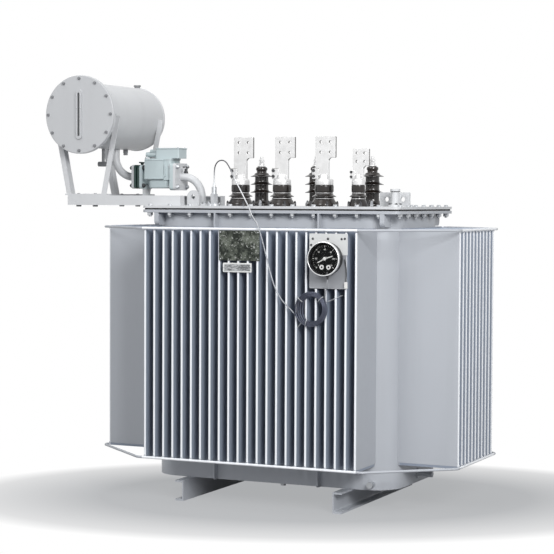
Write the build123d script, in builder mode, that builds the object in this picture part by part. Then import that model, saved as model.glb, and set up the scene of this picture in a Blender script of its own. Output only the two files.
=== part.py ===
# Oil-immersed three-phase power transformer: corrugated tank on two base
# channels, flat bolted cover with two rows of bushings, conservator with gas
# relay at the left end, dial thermometer and rating plate at the front.
# All sizes in millimetres. X runs along the front, Y runs to the back, Z runs
# up from the floor, and the origin is on the floor midway between the channels.
import math
import os

from build123d import *

os.makedirs("parts", exist_ok=True)

# Base channels
channel_height = 100.0
channel_flange = 45.0
channel_web_t = 6.0
channel_flange_t = 8.5
channel_root_r = 7.0
channel_length = 960.0
channel_back_x = 395.0
anchor_hole_r = 11.0
anchor_end_gap = 60.0

# Tank body, its rim flange and the cover
tank_length = 1290.0
tank_width = 700.0
tank_corner_r = 150.0
skirt_height = 115.0
collar_height = 68.0
rim_overhang = 38.0
rim_t = 14.0
rim_corner_r = 30.0
gasket_t = 8.0
gasket_inset = 6.0
cover_t = 12.0

# Cooling fins: folds of sheet, pressed flat and welded at their two ends
fin_height = 1125.0
fin_t = 10.0
fin_pitch = 50.0
fin_edge_r = 4.0
fin_seam_height = 14.0
fin_seam_t = 3.0
long_fin_count = 23
long_fin_depth = 240.0
end_fin_count = 11
end_fin_depth = 295.0

# Round rods that tie the fin tips together
rod_r = 6.0
rod_bend_r = 30.0
rod_reach = 28.0

# Bars and hooks on the tank walls
stiffener_t = 8.0
stiffener_depth = 40.0
fins_inside_bars = 5
hook_from_end = 47.0
hook_t = 24.0
hook_height = 62.0
hook_out = 36.0
hook_seat_r = 9.0
hook_round = 22.0

# Conservator
drum_from_tank = 435.0
drum_rise = 410.0
drum_r = 167.0
drum_wall = 4.0
drum_front_y = -320.0
drum_back_y = 330.0
drum_cover_r = 199.0
drum_cover_t = 12.0
drum_cover_edge = 3.0
drum_end_straight = 8.0
drum_end_knuckle_r = 22.0
drum_end_bulge = 24.0

# Oil gauge on the conservator's front cover
gauge_height = 250.0
gauge_width = 34.0
gauge_t = 8.0
gauge_slot_height = 222.0
gauge_slot_width = 12.0

# Filler, drain stub and breather on the conservator
filler_y = 285.0
filler_r = 15.0
filler_neck = 9.0
filler_cap_r = 19.0
filler_cap_t = 8.0
drum_drain_y = 158.0
drum_drain_r = 13.0
drum_drain_out = 16.0
drum_drain_plug_t = 12.0
breather_y = -77.0
breather_r = 8.0
breather_drop = 80.0
breather_body_r = 13.0
breather_body_length = 54.0

# Beams and legs under the conservator
beam_y = 230.0
beam_past_drum = 109.0
beam_on_cover = 110.0
beam_height = 50.0
beam_width = 46.0
beam_wall = 5.0
cross_bar_size = 40.0
foot_plate_t = 8.0
foot_plate_length = 250.0
leg_tilt = 11.5
leg_width = 40.0
leg_depth = 28.0
leg_t = 5.0
leg_above_contact = 30.0

# Pipework, shut-off valve and gas relay between the conservator and the cover
pipe_y = 55.0
pipe_rise = 148.0
pipe_r = 20.0
pipe_bend_r = 105.0
pipe_flange_size = 124.0
flange_corner_r = 16.0
pipe_flange_t = 14.0
pipe_from_tank_end = 75.0
pipe_foot_r = 45.0
pipe_foot_t = 10.0
valve_from_drum = 142.0
valve_flange_t = 12.0
valve_gap = 9.0
valve_core_r = 44.0
valve_stem_r = 6.0
valve_stem_out = 10.0
relay_flange_t = 14.0
relay_neck = 14.0
relay_length = 154.0
relay_width = 112.0
relay_above_pipe = 87.0
relay_below_pipe = 17.0
relay_corner_r = 14.0
relay_lid_t = 8.0
relay_lid_over = 3.0
relay_neck_r = 42.0
relay_bowl_inset = 6.0
relay_bowl_taper = 5.0
relay_bowl_corner_r = 34.0
relay_bowl_depth = 43.0
relay_bowl_edge_r = 8.0
relay_right_flange_size = 140.0
relay_right_flange_t = 20.0
window_width = 96.0
window_height = 70.0
window_out = 4.0
window_frame = 8.0
box_length = 138.0
box_width = 92.0
box_height = 54.0
box_past_relay = 42.0
box_corner_r = 8.0
box_lid_t = 5.0
box_lid_over = 2.5
gland_r = 11.0
gland_nut_r = 16.0
gland_nut_t = 12.0
gland_length = 62.0
gland_apart_y = 46.0
gland_apart_z = 16.0
support_width = 60.0
support_t = 10.0
cock_x_gap = 26.0
cock_r = 7.0
cock_height = 44.0
cock_bar = 30.0

# High-voltage bushings, back row
hv_from_back = 138.0
hv_centre_x = 5.0
hv_pitch = 308.0
hv_body_r = 35.5
hv_foot_r = 49.5
hv_foot_height = 14.0
hv_shed_r = 58.0
hv_shed_t = 4.0
hv_shed_slope = 8.0
hv_shed_gap = 41.0
hv_shed_count = 3
porcelain_edge_r = 1.5
hv_first_shed = 74.0
hv_height = 202.0
hv_cap_height = 18.0
hv_cap_r = 30.0
hv_neck_r = 25.5
hv_neck_height = 22.0
hv_stud_r = 8.0
hv_stud_out = 50.0
hv_stud_in = 50.0
hv_nut_r = 14.5
hv_nut_t = 11.0

# Low-voltage bushings, front row: three line bushings and a smaller neutral
lv_from_front = 150.0
lv_pitch = 225.0
lv_neutral_from_end = 242.0
lv_base_r = 64.0
lv_base_height = 14.0
lv_flare_height = 40.0
lv_shed_r = 60.0
lv_shed_height = 50.0
lv_shed_t = 5.0
lv_cap_r = 46.0
lv_cap_height = 34.0
lv_groove = 4.5
lv_height = 104.0
neutral_scale = 0.72

# Connection palms on the low-voltage bushings
clamp_height = 28.0
clamp_r = 44.5
palm_width = 106.0
palm_height = 102.0
palm_t = 14.0
palm_stem_width = 70.0
palm_shoulder = 10.0
palm_corner_r = 4.0
palm_rise = 338.0
palm_shift_c = 10.0
palm_hole_pitch = 50.0
palm_hole_r = 7.0
neutral_palm_scale = 0.8
neutral_palm_rise = 277.0
lug_block_width = 34.0
lug_block_height = 58.0
lug_block_depth = 30.0

# Thermometer pocket on the cover
pocket_x = -322.0
pocket_from_front = 50.0
pocket_flange_r = 30.0
pocket_flange_t = 10.0
pocket_body_r = 20.0
pocket_body_height = 58.0
pocket_head_r = 12.0
pocket_height = 92.0

# Capillary, its coil, and the dial thermometer
capillary_r = 3.0
coil_x = 330.0
coil_below_fins = 372.0
coil_outer_r = 84.0
coil_hole_width = 90.0
coil_hole_height = 118.0
coil_hole_shift = 11.0
coil_thickness = 20.0
dial_x = 413.0
dial_below_fins = 137.0
dial_r = 80.0
dial_depth = 60.0
dial_can_r = 75.0
dial_ring_depth = 14.0
dial_ring_width = 7.0
dial_recess = 6.0
dial_boss_r = 9.0
dial_boss_height = 20.0
dial_boss_x = 11.0
dial_boss_out = 30.0
bracket_t = 4.0
bracket_left = 94.0
bracket_right = 98.0
bracket_top_gap = 10.0
bracket_below_dial = 141.0
bracket_step_down = 16.0
bracket_step_in = 7.0

# Rating plate and label plate, fixed across the fin tips
plate_t = 4.0
rating_x = -42.0
rating_width = 212.0
rating_height = 142.0
rating_gap = 1.0
label_x = -52.0
label_width = 150.0
label_height = 44.0
label_gap = 11.0

# Lifting lugs, relief stub and small fittings
lug_t = 16.0
lug_left_from_end = 55.0
lug_left_r = 34.0
lug_left_height = 78.0
lug_right_from_end = 129.0
lug_right_length = 154.0
lug_right_height = 70.0
lug_corner_r = 5.0
lug_hole_r = 12.0
lug_hole_up = 36.0
lug_hole_pitch = 84.0
stub_from_end = 98.0
stub_from_front = 270.0
stub_foot_r = 34.0
stub_foot_t = 10.0
stub_r = 20.0
stub_height = 74.0
stub_cap_r = 24.0
stub_cap_t = 12.0
drain_up = 42.0
drain_pad_r = 26.0
drain_pad_t = 6.0
drain_pipe_r = 13.0
drain_pipe_length = 48.0
drain_cap_r = 17.0
drain_cap_length = 28.0
plug_x = 60.0
plug_from_front = 50.0
plug_r = 14.0
plug_height = 16.0
earth_from_end = 105.0
earth_up = 28.0
earth_r = 15.0
earth_out = 30.0

tank_bottom = channel_height
fin_bottom = tank_bottom + skirt_height
fin_top = fin_bottom + fin_height
rim_bottom = fin_top + collar_height
gasket_bottom = rim_bottom + rim_t
cover_bottom = gasket_bottom + gasket_t
cover_top = cover_bottom + cover_t
half_length = tank_length / 2
half_width = tank_width / 2
front_tip_y = half_width + long_fin_depth
end_tip_x = half_length + end_fin_depth
beam_top = cover_top + beam_height
drum_x = -half_length - drum_from_tank
drum_z = beam_top + drum_rise
pipe_z = cover_top + pipe_rise
valve_left_x = drum_x + valve_from_drum
relay_left_x = valve_left_x + 2 * valve_flange_t + valve_gap
body_left_x = relay_left_x + relay_flange_t + relay_neck
body_right_x = body_left_x + relay_length
pipe_drop_x = -half_length + pipe_from_tank_end


def save(piece, name):
    """Names one finished piece and writes it to its own file."""
    piece.part.label = name
    export_step(piece.part, "parts/" + name + ".step")


def facing(x, y, z):
    """Upright plane that looks forward, with its centre at the given point."""
    return Plane(origin=(x, y, z), x_dir=(1, 0, 0), z_dir=(0, -1, 0))


def turned(x, y, z, profile, rims):
    """Solid turned about an upright axis from (radius, height) points, rounded at the rim radii."""
    with BuildPart() as solid:
        with BuildSketch(facing(x, y, z)) as outline:
            with BuildLine():
                Polyline(*profile, close=True)
            make_face()
            fillet([corner for corner in outline.vertices() if corner.Y > porcelain_edge_r
                    and any(abs(corner.X - rim) < porcelain_edge_r / 10 for rim in rims)],
                   porcelain_edge_r)
        revolve(axis=Axis((x, y, z), (0, 0, 1)))
    return solid


# Tank body: housing filled with oil, core and windings
with BuildPart() as tank_body:
    with BuildSketch(Plane.XY.offset(tank_bottom)):
        RectangleRounded(tank_length, tank_width, tank_corner_r)
    extrude(amount=cover_bottom - tank_bottom)
save(tank_body, "tank_body")


def rim_ring(bottom, thickness, inset):
    """Flat ring that fits round the tank body at its open top."""
    with BuildPart() as ring:
        with BuildSketch(Plane.XY.offset(bottom)):
            RectangleRounded(tank_length + 2 * (rim_overhang - inset),
                             tank_width + 2 * (rim_overhang - inset), rim_corner_r)
            RectangleRounded(tank_length, tank_width, tank_corner_r, mode=Mode.SUBTRACT)
        extrude(amount=thickness)
    return ring


save(rim_ring(rim_bottom, rim_t, 0.0), "tank_flange")
save(rim_ring(gasket_bottom, gasket_t, gasket_inset), "cover_gasket")

with BuildPart() as cover_plate:
    with BuildSketch(Plane.XY.offset(cover_bottom)):
        RectangleRounded(tank_length + 2 * rim_overhang, tank_width + 2 * rim_overhang, rim_corner_r)
    extrude(amount=cover_t)
save(cover_plate, "cover_plate")


def fin_bank(count, depth, wall, turn):
    """Row of folded fins that stand out from a wall; turn is the wall's bearing in degrees."""
    outward = Vector(0, -1, 0).rotate(Axis.Z, turn)
    root = Plane(origin=outward * (wall - tank_corner_r) + Vector(0, 0, fin_bottom + fin_height / 2),
                 x_dir=Vector(1, 0, 0).rotate(Axis.Z, turn), z_dir=outward)
    seam_angle = math.degrees(math.atan2(fin_seam_height, (fin_t - fin_seam_t) / 2))
    straight = fin_height - 2 * fin_seam_height
    with BuildPart() as bank:
        with BuildSketch(root):
            with GridLocations(fin_pitch, 1, count, 1):
                Rectangle(fin_t, straight)
                with Locations((0, straight / 2)):
                    Trapezoid(fin_t, fin_seam_height, seam_angle, align=(Align.CENTER, Align.MIN))
                with Locations((0, -straight / 2)):
                    Trapezoid(fin_t, fin_seam_height, seam_angle, rotation=180,
                              align=(Align.CENTER, Align.MIN))
        extrude(amount=depth + tank_corner_r)
        tips = [edge for edge in bank.edges().filter_by(Axis.Z)
                if edge.center().dot(outward) > wall + depth / 2]
        fillet(tips, fin_edge_r)
        add(tank_body.part, mode=Mode.SUBTRACT)
    return bank


save(fin_bank(long_fin_count, long_fin_depth, half_width, 0), "fins_front")
save(fin_bank(long_fin_count, long_fin_depth, half_width, 180), "fins_back")
save(fin_bank(end_fin_count, end_fin_depth, half_length, -90), "fins_left")
save(fin_bank(end_fin_count, end_fin_depth, half_length, 90), "fins_right")

# Tie rods: straight rods along the fin tips and bent rods across the corners
rod_levels = (fin_bottom + rod_r, fin_top - rod_r)
rod_y = front_tip_y + rod_r
rod_x = end_tip_x + rod_r
long_rod_half = (long_fin_count - 1) * fin_pitch / 2 + fin_t
end_rod_half = (end_fin_count - 1) * fin_pitch / 2 + fin_t

with BuildPart() as tie_rods_long:
    with Locations(*[(0, side * rod_y, level) for side in (-1, 1) for level in rod_levels]):
        Cylinder(rod_r, 2 * long_rod_half, rotation=(0, 90, 0))
save(tie_rods_long, "tie_rods_long")

with BuildPart() as tie_rods_end:
    with Locations(*[(side * rod_x, 0, level) for side in (-1, 1) for level in rod_levels]):
        Cylinder(rod_r, 2 * end_rod_half, rotation=(90, 0, 0))
save(tie_rods_end, "tie_rods_end")

with BuildPart() as tie_rods_corner:
    for side_x in (-1, 1):
        for side_y in (-1, 1):
            for level in rod_levels:
                with BuildLine() as bend_line:
                    FilletPolyline(
                        (side_x * long_rod_half, side_y * rod_y, level),
                        (side_x * (long_rod_half + rod_reach), side_y * rod_y, level),
                        (side_x * rod_x, side_y * (end_rod_half + rod_reach), level),
                        (side_x * rod_x, side_y * end_rod_half, level),
                        radius=rod_bend_r)
                with BuildSketch(Plane(origin=(side_x * long_rod_half, side_y * rod_y, level),
                                       x_dir=(0, 1, 0), z_dir=(side_x, 0, 0))):
                    Circle(rod_r)
                sweep(path=bend_line.line)
save(tie_rods_corner, "tie_rods_corner")

# Upright stiffener bars between two fins, front and back
bar_x = (fins_inside_bars + 0.5) * fin_pitch
with BuildPart() as stiffener_bars:
    with Locations(*[(side_x * bar_x, side_y * (half_width + stiffener_depth / 2), tank_bottom)
                     for side_x in (-1, 1) for side_y in (-1, 1)]):
        Box(stiffener_t, stiffener_depth, rim_bottom - tank_bottom,
            align=(Align.CENTER, Align.CENTER, Align.MIN))
    add(tank_body.part, mode=Mode.SUBTRACT)
    outer_feet = stiffener_bars.edges().filter_by(Axis.X).group_by(Axis.Z)[0]
    chamfer([edge for edge in outer_feet if abs(edge.center().Y) > half_width + stiffener_depth / 2],
            stiffener_depth / 4)
save(stiffener_bars, "stiffener_bars")

# Lifting hooks under the rim at the corners: thick plates with a seat for the sling
with BuildPart() as lifting_hooks:
    for side_x in (-1, 1):
        for side_y in (-1, 1):
            with BuildSketch(Plane(origin=(side_x * (half_length - hook_from_end),
                                           side_y * half_width, rim_bottom),
                                   x_dir=(0, side_y, 0), z_dir=(side_y, 0, 0))):
                with Locations((hook_out, 0)):
                    Rectangle(2 * hook_out + tank_corner_r / 2, hook_height, align=(Align.MAX, Align.MAX))
                with Locations((hook_out - hook_seat_r, 0)):
                    Circle(hook_seat_r, mode=Mode.SUBTRACT)
            extrude(amount=hook_t / 2, both=True)
    lower_edges = lifting_hooks.edges().filter_by(Axis.X).group_by(Axis.Z)[0]
    fillet(lower_edges, hook_round)
    add(tank_body.part, mode=Mode.SUBTRACT)
save(lifting_hooks, "lifting_hooks")

# Base channels: webs face inwards, flanges point outwards
anchor_x = channel_back_x + channel_flange / 2
anchor_y = channel_length / 2 - anchor_end_gap


def base_channel(side):
    """Rolled channel that runs front to back under the tank, with two anchor holes."""
    inner_x = side * (channel_back_x + channel_web_t)
    with BuildPart() as channel:
        with BuildSketch(facing(side * anchor_x, channel_length / 2, channel_height / 2)):
            Rectangle(channel_flange, channel_height)
            with Locations((side * channel_web_t, 0)):
                Rectangle(channel_flange, channel_height - 2 * channel_flange_t, mode=Mode.SUBTRACT)
        extrude(amount=channel_length)
        roots = channel.edges().filter_by(Axis.Y).filter_by_position(
            Axis.X, inner_x - channel_web_t / 4, inner_x + channel_web_t / 4)
        fillet(roots, channel_root_r)
        with Locations(*[(side * anchor_x, end * anchor_y, 0) for end in (-1, 1)]):
            Cylinder(anchor_hole_r, 3 * channel_flange_t, mode=Mode.SUBTRACT)
    return channel


save(base_channel(-1), "base_channel_left")
save(base_channel(1), "base_channel_right")

# Conservator drum: rolled shell with a rim, bolted front cover, dished rear end
drum_rim_y = drum_front_y + drum_cover_t
drum_end_depth = drum_end_straight + drum_end_knuckle_r + drum_end_bulge
drum_seam_y = drum_back_y - drum_end_depth
with BuildPart() as conservator_shell:
    with BuildSketch(facing(drum_x, drum_rim_y, drum_z)):
        Circle(drum_cover_r)
    extrude(amount=-drum_cover_t)
    with BuildSketch(facing(drum_x, drum_rim_y, drum_z)):
        Circle(drum_r)
    extrude(amount=-(drum_seam_y - drum_rim_y))
    with BuildSketch(facing(drum_x, drum_rim_y, drum_z)):
        Circle(drum_r - drum_wall)
    extrude(amount=-(drum_seam_y - drum_rim_y), mode=Mode.SUBTRACT)
save(conservator_shell, "conservator_shell")

with BuildPart() as conservator_front_cover:
    with BuildSketch(facing(drum_x, drum_rim_y, drum_z)):
        Circle(drum_cover_r)
    extrude(amount=drum_cover_t)
    chamfer(conservator_front_cover.faces().sort_by(Axis.Y)[0].edges(), drum_cover_edge)
save(conservator_front_cover, "conservator_front_cover")

# The knuckle is a quarter round and the crown a shallow arc, turned about the drum's axis
crown_r = drum_r - drum_end_knuckle_r
knuckle_y = drum_seam_y + drum_end_straight
sphere_r = (crown_r ** 2 + drum_end_bulge ** 2) / (2 * drum_end_bulge)
crown_start = math.degrees(math.acos(crown_r / sphere_r))
with BuildPart() as conservator_rear_end:
    with BuildSketch(Plane(origin=(drum_x, 0, drum_z), x_dir=(1, 0, 0), z_dir=(0, 0, 1))):
        with BuildLine():
            Line((0, drum_seam_y), (drum_r, drum_seam_y))
            Line((drum_r, drum_seam_y), (drum_r, knuckle_y))
            CenterArc((crown_r, knuckle_y), drum_end_knuckle_r, 0, 90)
            CenterArc((0, drum_back_y - sphere_r), sphere_r, crown_start, 90 - crown_start)
            Line((0, drum_back_y), (0, drum_seam_y))
        make_face()
    revolve(axis=Axis((drum_x, 0, drum_z), (0, 1, 0)))
save(conservator_rear_end, "conservator_rear_end")

# Oil gauge: upright frame with a window in its slot
with BuildPart() as oil_gauge:
    with BuildSketch(facing(drum_x, drum_front_y, drum_z)):
        SlotOverall(gauge_height, gauge_width, rotation=90)
        SlotOverall(gauge_slot_height, gauge_slot_width, rotation=90, mode=Mode.SUBTRACT)
    extrude(amount=gauge_t)
    with BuildSketch(facing(drum_x, drum_front_y, drum_z)):
        SlotOverall(gauge_slot_height, gauge_slot_width, rotation=90)
    extrude(amount=gauge_t / 2)
save(oil_gauge, "oil_gauge")


def cut_to_drum():
    """Takes the drum's outside away from the piece that is being built."""
    with Locations((drum_x, (drum_back_y + drum_front_y) / 2, drum_z)):
        Cylinder(drum_r, drum_back_y - drum_front_y, rotation=(90, 0, 0), mode=Mode.SUBTRACT)


# Fittings on the drum: each is cut to the shell that it is welded to
with BuildPart() as conservator_filler:
    with Locations((drum_x, filler_y, drum_z + drum_r - filler_r)):
        Cylinder(filler_r, filler_r + filler_neck, align=(Align.CENTER, Align.CENTER, Align.MIN))
    with Locations((drum_x, filler_y, drum_z + drum_r + filler_neck)):
        Cylinder(filler_cap_r, filler_cap_t, align=(Align.CENTER, Align.CENTER, Align.MIN))
    cut_to_drum()
save(conservator_filler, "conservator_filler")

with BuildPart() as conservator_drain:
    with Locations((drum_x, drum_drain_y, drum_z - drum_r + drum_drain_r)):
        Cylinder(drum_drain_r, drum_drain_r + drum_drain_out,
                 align=(Align.CENTER, Align.CENTER, Align.MAX))
    with BuildSketch(Plane.XY.offset(drum_z - drum_r - drum_drain_out)):
        with Locations((drum_x, drum_drain_y)):
            RegularPolygon(drum_drain_r, 6)
    extrude(amount=-drum_drain_plug_t)
    cut_to_drum()
save(conservator_drain, "conservator_drain")

with BuildPart() as breather_pipe:
    with Locations((drum_x, breather_y, drum_z - drum_r + breather_r)):
        Cylinder(breather_r, breather_r + breather_drop, align=(Align.CENTER, Align.CENTER, Align.MAX))
    with Locations((drum_x, breather_y, drum_z - drum_r - breather_drop)):
        Cylinder(breather_body_r, breather_body_length, rotation=(0, 90, 0))
    cut_to_drum()
save(breather_pipe, "breather_pipe")

# Beams: channels laid across the left end of the cover
beam_left_x = drum_x - beam_past_drum
beam_right_x = -half_length + beam_on_cover


def support_beam(side):
    """Channel beam whose web faces outwards and whose flanges point inwards."""
    with BuildPart() as beam:
        with BuildSketch(Plane(origin=(beam_left_x, side * beam_y, cover_top + beam_height / 2),
                               x_dir=(0, 1, 0), z_dir=(1, 0, 0))):
            Rectangle(beam_width, beam_height)
            with Locations((-side * beam_wall, 0)):
                Rectangle(beam_width, beam_height - 2 * beam_wall, mode=Mode.SUBTRACT)
        extrude(amount=beam_right_x - beam_left_x)
    return beam


save(support_beam(-1), "support_beam_front")
save(support_beam(1), "support_beam_rear")

cross_bar_x = relay_left_x + relay_flange_t / 2
with BuildPart() as beam_cross_bar:
    with Locations((cross_bar_x, 0, beam_top)):
        Box(cross_bar_size, 2 * beam_y - beam_width, beam_height,
            align=(Align.CENTER, Align.CENTER, Align.MAX))
save(beam_cross_bar, "beam_cross_bar")

with BuildPart() as foot_plates:
    with Locations(*[(drum_x, side * beam_y, beam_top) for side in (-1, 1)]):
        Box(foot_plate_length, beam_width, foot_plate_t,
            align=(Align.CENTER, Align.CENTER, Align.MIN))
save(foot_plates, "foot_plates")

# Legs: angle sections that lean outwards and touch the drum's sides
tilt = math.radians(leg_tilt)
leg_foot_z = beam_top + foot_plate_t
contact_z = drum_z - drum_r * math.sin(tilt)
leg_length = (contact_z - leg_foot_z) / math.cos(tilt) + leg_above_contact + leg_depth
with BuildPart() as conservator_legs:
    for side_x in (-1, 1):
        for side_y in (-1, 1):
            contact = (drum_x + side_x * drum_r * math.cos(tilt), side_y * beam_y, contact_z)
            section = Plane(origin=contact, x_dir=(side_x * math.cos(tilt), 0, -math.sin(tilt)),
                            z_dir=(side_x * math.sin(tilt), 0, math.cos(tilt)))
            with BuildSketch(section.offset(leg_above_contact)):
                with Locations((leg_t / 2, 0)):
                    Rectangle(leg_t, leg_width)
                with Locations((leg_depth / 2, -side_x * (leg_width - leg_t) / 2)):
                    Rectangle(leg_depth, leg_t)
            extrude(amount=-leg_length)
    with Locations((drum_x, 0, leg_foot_z)):
        Box(4 * drum_r, 4 * beam_y, leg_length, align=(Align.CENTER, Align.CENTER, Align.MAX),
            mode=Mode.SUBTRACT)
save(conservator_legs, "conservator_legs")


def ring_at(x, radius, thickness):
    """Disc on the pipe axis, from x towards the right."""
    with Locations((x, pipe_y, pipe_z)):
        Cylinder(radius, thickness, rotation=(0, 90, 0), align=(Align.CENTER, Align.CENTER, Align.MIN))


def flange_at(x, size, thickness):
    """Square flange with rounded corners on the pipe axis, from x towards the right."""
    corner = size / 2 - flange_corner_r
    with Locations((x + thickness / 2, pipe_y, pipe_z)):
        Box(thickness, size, 2 * corner)
        Box(thickness, 2 * corner, size)
        with Locations(*[(0, side * corner, up * corner) for side in (-1, 1) for up in (-1, 1)]):
            Cylinder(flange_corner_r, thickness, rotation=(0, 90, 0))


# Pipe from the drum's underside to the shut-off valve
pipe_start = (drum_x, pipe_y, drum_z - drum_r + pipe_r)
with BuildPart() as pipe_conservator:
    with BuildLine() as drop_line:
        FilletPolyline(pipe_start, (drum_x, pipe_y, pipe_z), (valve_left_x, pipe_y, pipe_z),
                       radius=pipe_bend_r)
    with BuildSketch(Plane(origin=pipe_start, z_dir=(0, 0, -1))):
        Circle(pipe_r)
    sweep(path=drop_line.line)
    flange_at(valve_left_x - pipe_flange_t, pipe_flange_size, pipe_flange_t)
    cut_to_drum()
save(pipe_conservator, "pipe_conservator")

# Shut-off valve: a disc valve between two flanges, with its stem on top
with BuildPart() as shutoff_valve:
    flange_at(valve_left_x, pipe_flange_size, valve_flange_t)
    ring_at(valve_left_x, valve_core_r, 2 * valve_flange_t + valve_gap)
    flange_at(valve_left_x + valve_flange_t + valve_gap, pipe_flange_size, valve_flange_t)
    with Locations((valve_left_x + valve_flange_t + valve_gap / 2, pipe_y, pipe_z)):
        Cylinder(valve_stem_r, pipe_flange_size / 2 + valve_stem_out,
                 align=(Align.CENTER, Align.CENTER, Align.MIN))
save(shutoff_valve, "shutoff_valve")

# Gas relay: cast body on the pipe axis with a window, a bowl, a lid and two flanges
relay_mid_x = (body_left_x + body_right_x) / 2
relay_body_top = pipe_z + relay_above_pipe
relay_body_bottom = pipe_z - relay_below_pipe
relay_top = relay_body_top + relay_lid_t
relay_right_x = body_right_x + relay_right_flange_t
window_z = (relay_body_top + relay_body_bottom) / 2
with BuildPart() as relay_body:
    with BuildSketch(Plane.XY.offset(relay_body_bottom)):
        with Locations((relay_mid_x, pipe_y)):
            RectangleRounded(relay_length, relay_width, relay_corner_r)
    extrude(amount=relay_body_top - relay_body_bottom)
    with BuildSketch(Plane.XY.offset(relay_body_top)):
        with Locations((relay_mid_x, pipe_y)):
            RectangleRounded(relay_length + 2 * relay_lid_over, relay_width + 2 * relay_lid_over,
                             relay_corner_r)
    extrude(amount=relay_lid_t)
    with BuildSketch(Plane.XY.offset(relay_body_bottom)):
        with Locations((relay_mid_x, pipe_y)):
            RectangleRounded(relay_length - 2 * relay_bowl_inset, relay_width - 2 * relay_bowl_inset,
                             relay_bowl_corner_r)
    extrude(amount=-relay_bowl_depth, taper=relay_bowl_taper)
    fillet(relay_body.faces().sort_by(Axis.Z)[0].edges(), relay_bowl_edge_r)
    with BuildSketch(facing(relay_mid_x, pipe_y - relay_width / 2, window_z)):
        RectangleRounded(window_width, window_height, window_frame)
        RectangleRounded(window_width - 2 * window_frame, window_height - 2 * window_frame,
                         window_frame / 2, mode=Mode.SUBTRACT)
    extrude(amount=window_out)
    flange_at(relay_left_x, pipe_flange_size, relay_flange_t)
    ring_at(relay_left_x, relay_neck_r, relay_flange_t + relay_neck + relay_corner_r)
    flange_at(body_right_x, relay_right_flange_size, relay_right_flange_t)
save(relay_body, "relay_body")

# Terminal box of the relay: box with a lid and two cable glands
box_right_x = body_right_x + box_past_relay
box_left_x = box_right_x - box_length
box_mid_x = (box_left_x + box_right_x) / 2
box_mid_z = relay_top + box_height / 2
with BuildPart() as relay_terminal_box:
    with BuildSketch(Plane.XY.offset(relay_top)):
        with Locations((box_mid_x, pipe_y)):
            RectangleRounded(box_length, box_width, box_corner_r)
    extrude(amount=box_height - box_lid_t)
    with BuildSketch(Plane.XY.offset(relay_top + box_height - box_lid_t)):
        with Locations((box_mid_x, pipe_y)):
            RectangleRounded(box_length + 2 * box_lid_over, box_width + 2 * box_lid_over, box_corner_r)
    extrude(amount=box_lid_t)
    for side in (-1, 1):
        gland = (box_left_x, pipe_y + side * gland_apart_y / 2, box_mid_z + side * gland_apart_z / 2)
        with Locations(gland):
            Cylinder(gland_r, 2 * gland_length, rotation=(0, 90, 0))
        with BuildSketch(Plane(origin=gland, x_dir=(0, 1, 0), z_dir=(-1, 0, 0))):
            RegularPolygon(gland_nut_r, 6)
        extrude(amount=gland_nut_t)
        with BuildSketch(Plane(origin=gland, x_dir=(0, 1, 0), z_dir=(-1, 0, 0)).offset(gland_length)):
            RegularPolygon(gland_nut_r, 6)
        extrude(amount=-gland_nut_t)
save(relay_terminal_box, "relay_terminal_box")

# Pedestal under the relay's left flange
with BuildPart() as relay_support:
    with Locations((cross_bar_x, pipe_y, beam_top)):
        Box(support_t, support_width, pipe_z - pipe_flange_size / 2 - beam_top,
            align=(Align.CENTER, Align.CENTER, Align.MIN))
save(relay_support, "relay_support")

# Pipe from the relay down to the cover, with a cock on its top
with BuildPart() as pipe_tank:
    with BuildLine() as arch_line:
        FilletPolyline((relay_right_x, pipe_y, pipe_z), (pipe_drop_x, pipe_y, pipe_z),
                       (pipe_drop_x, pipe_y, cover_top), radius=pipe_bend_r)
    with BuildSketch(Plane(origin=(relay_right_x, pipe_y, pipe_z), z_dir=(1, 0, 0))):
        Circle(pipe_r)
    sweep(path=arch_line.line)
    flange_at(relay_right_x, relay_right_flange_size, relay_flange_t)
    with Locations((pipe_drop_x, pipe_y, cover_top)):
        Cylinder(pipe_foot_r, pipe_foot_t, align=(Align.CENTER, Align.CENTER, Align.MIN))
    with Locations((relay_right_x + cock_x_gap, pipe_y, pipe_z)):
        Cylinder(cock_r, cock_height, align=(Align.CENTER, Align.CENTER, Align.MIN))
    with Locations((relay_right_x + cock_x_gap, pipe_y, pipe_z + cock_height)):
        Cylinder(cock_r, cock_bar, rotation=(0, 90, 0))
save(pipe_tank, "pipe_tank")


# High-voltage bushings: sheds on a porcelain body, with a neck and a cap
def hv_profile():
    """Outline of the porcelain from its foot to its top, as (radius, height)."""
    points = [(0, 0), (hv_foot_r, 0), (hv_foot_r, hv_foot_height),
              (hv_body_r, hv_foot_height + hv_shed_slope)]
    for number in range(hv_shed_count):
        height = hv_first_shed + number * hv_shed_gap
        points += [(hv_body_r, height - hv_shed_t), (hv_shed_r, height - 2 * hv_shed_t),
                   (hv_shed_r, height - hv_shed_t), (hv_body_r, height + hv_shed_slope)]
    neck_bottom = hv_height - hv_cap_height - hv_neck_height
    points += [(hv_body_r, neck_bottom), (hv_neck_r, neck_bottom + hv_shed_slope),
               (hv_neck_r, hv_height - hv_cap_height), (hv_cap_r, hv_height - hv_cap_height),
               (hv_cap_r, hv_height), (hv_stud_r, hv_height), (hv_stud_r, hv_height - hv_stud_in),
               (0, hv_height - hv_stud_in)]
    return points


hv_y = half_width - hv_from_back
hv_places = {"a": hv_centre_x - hv_pitch, "b": hv_centre_x, "c": hv_centre_x + hv_pitch}
for phase, x in hv_places.items():
    save(turned(x, hv_y, cover_top, hv_profile(), (hv_shed_r, hv_foot_r, hv_cap_r)),
         "hv_bushing_" + phase)

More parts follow.
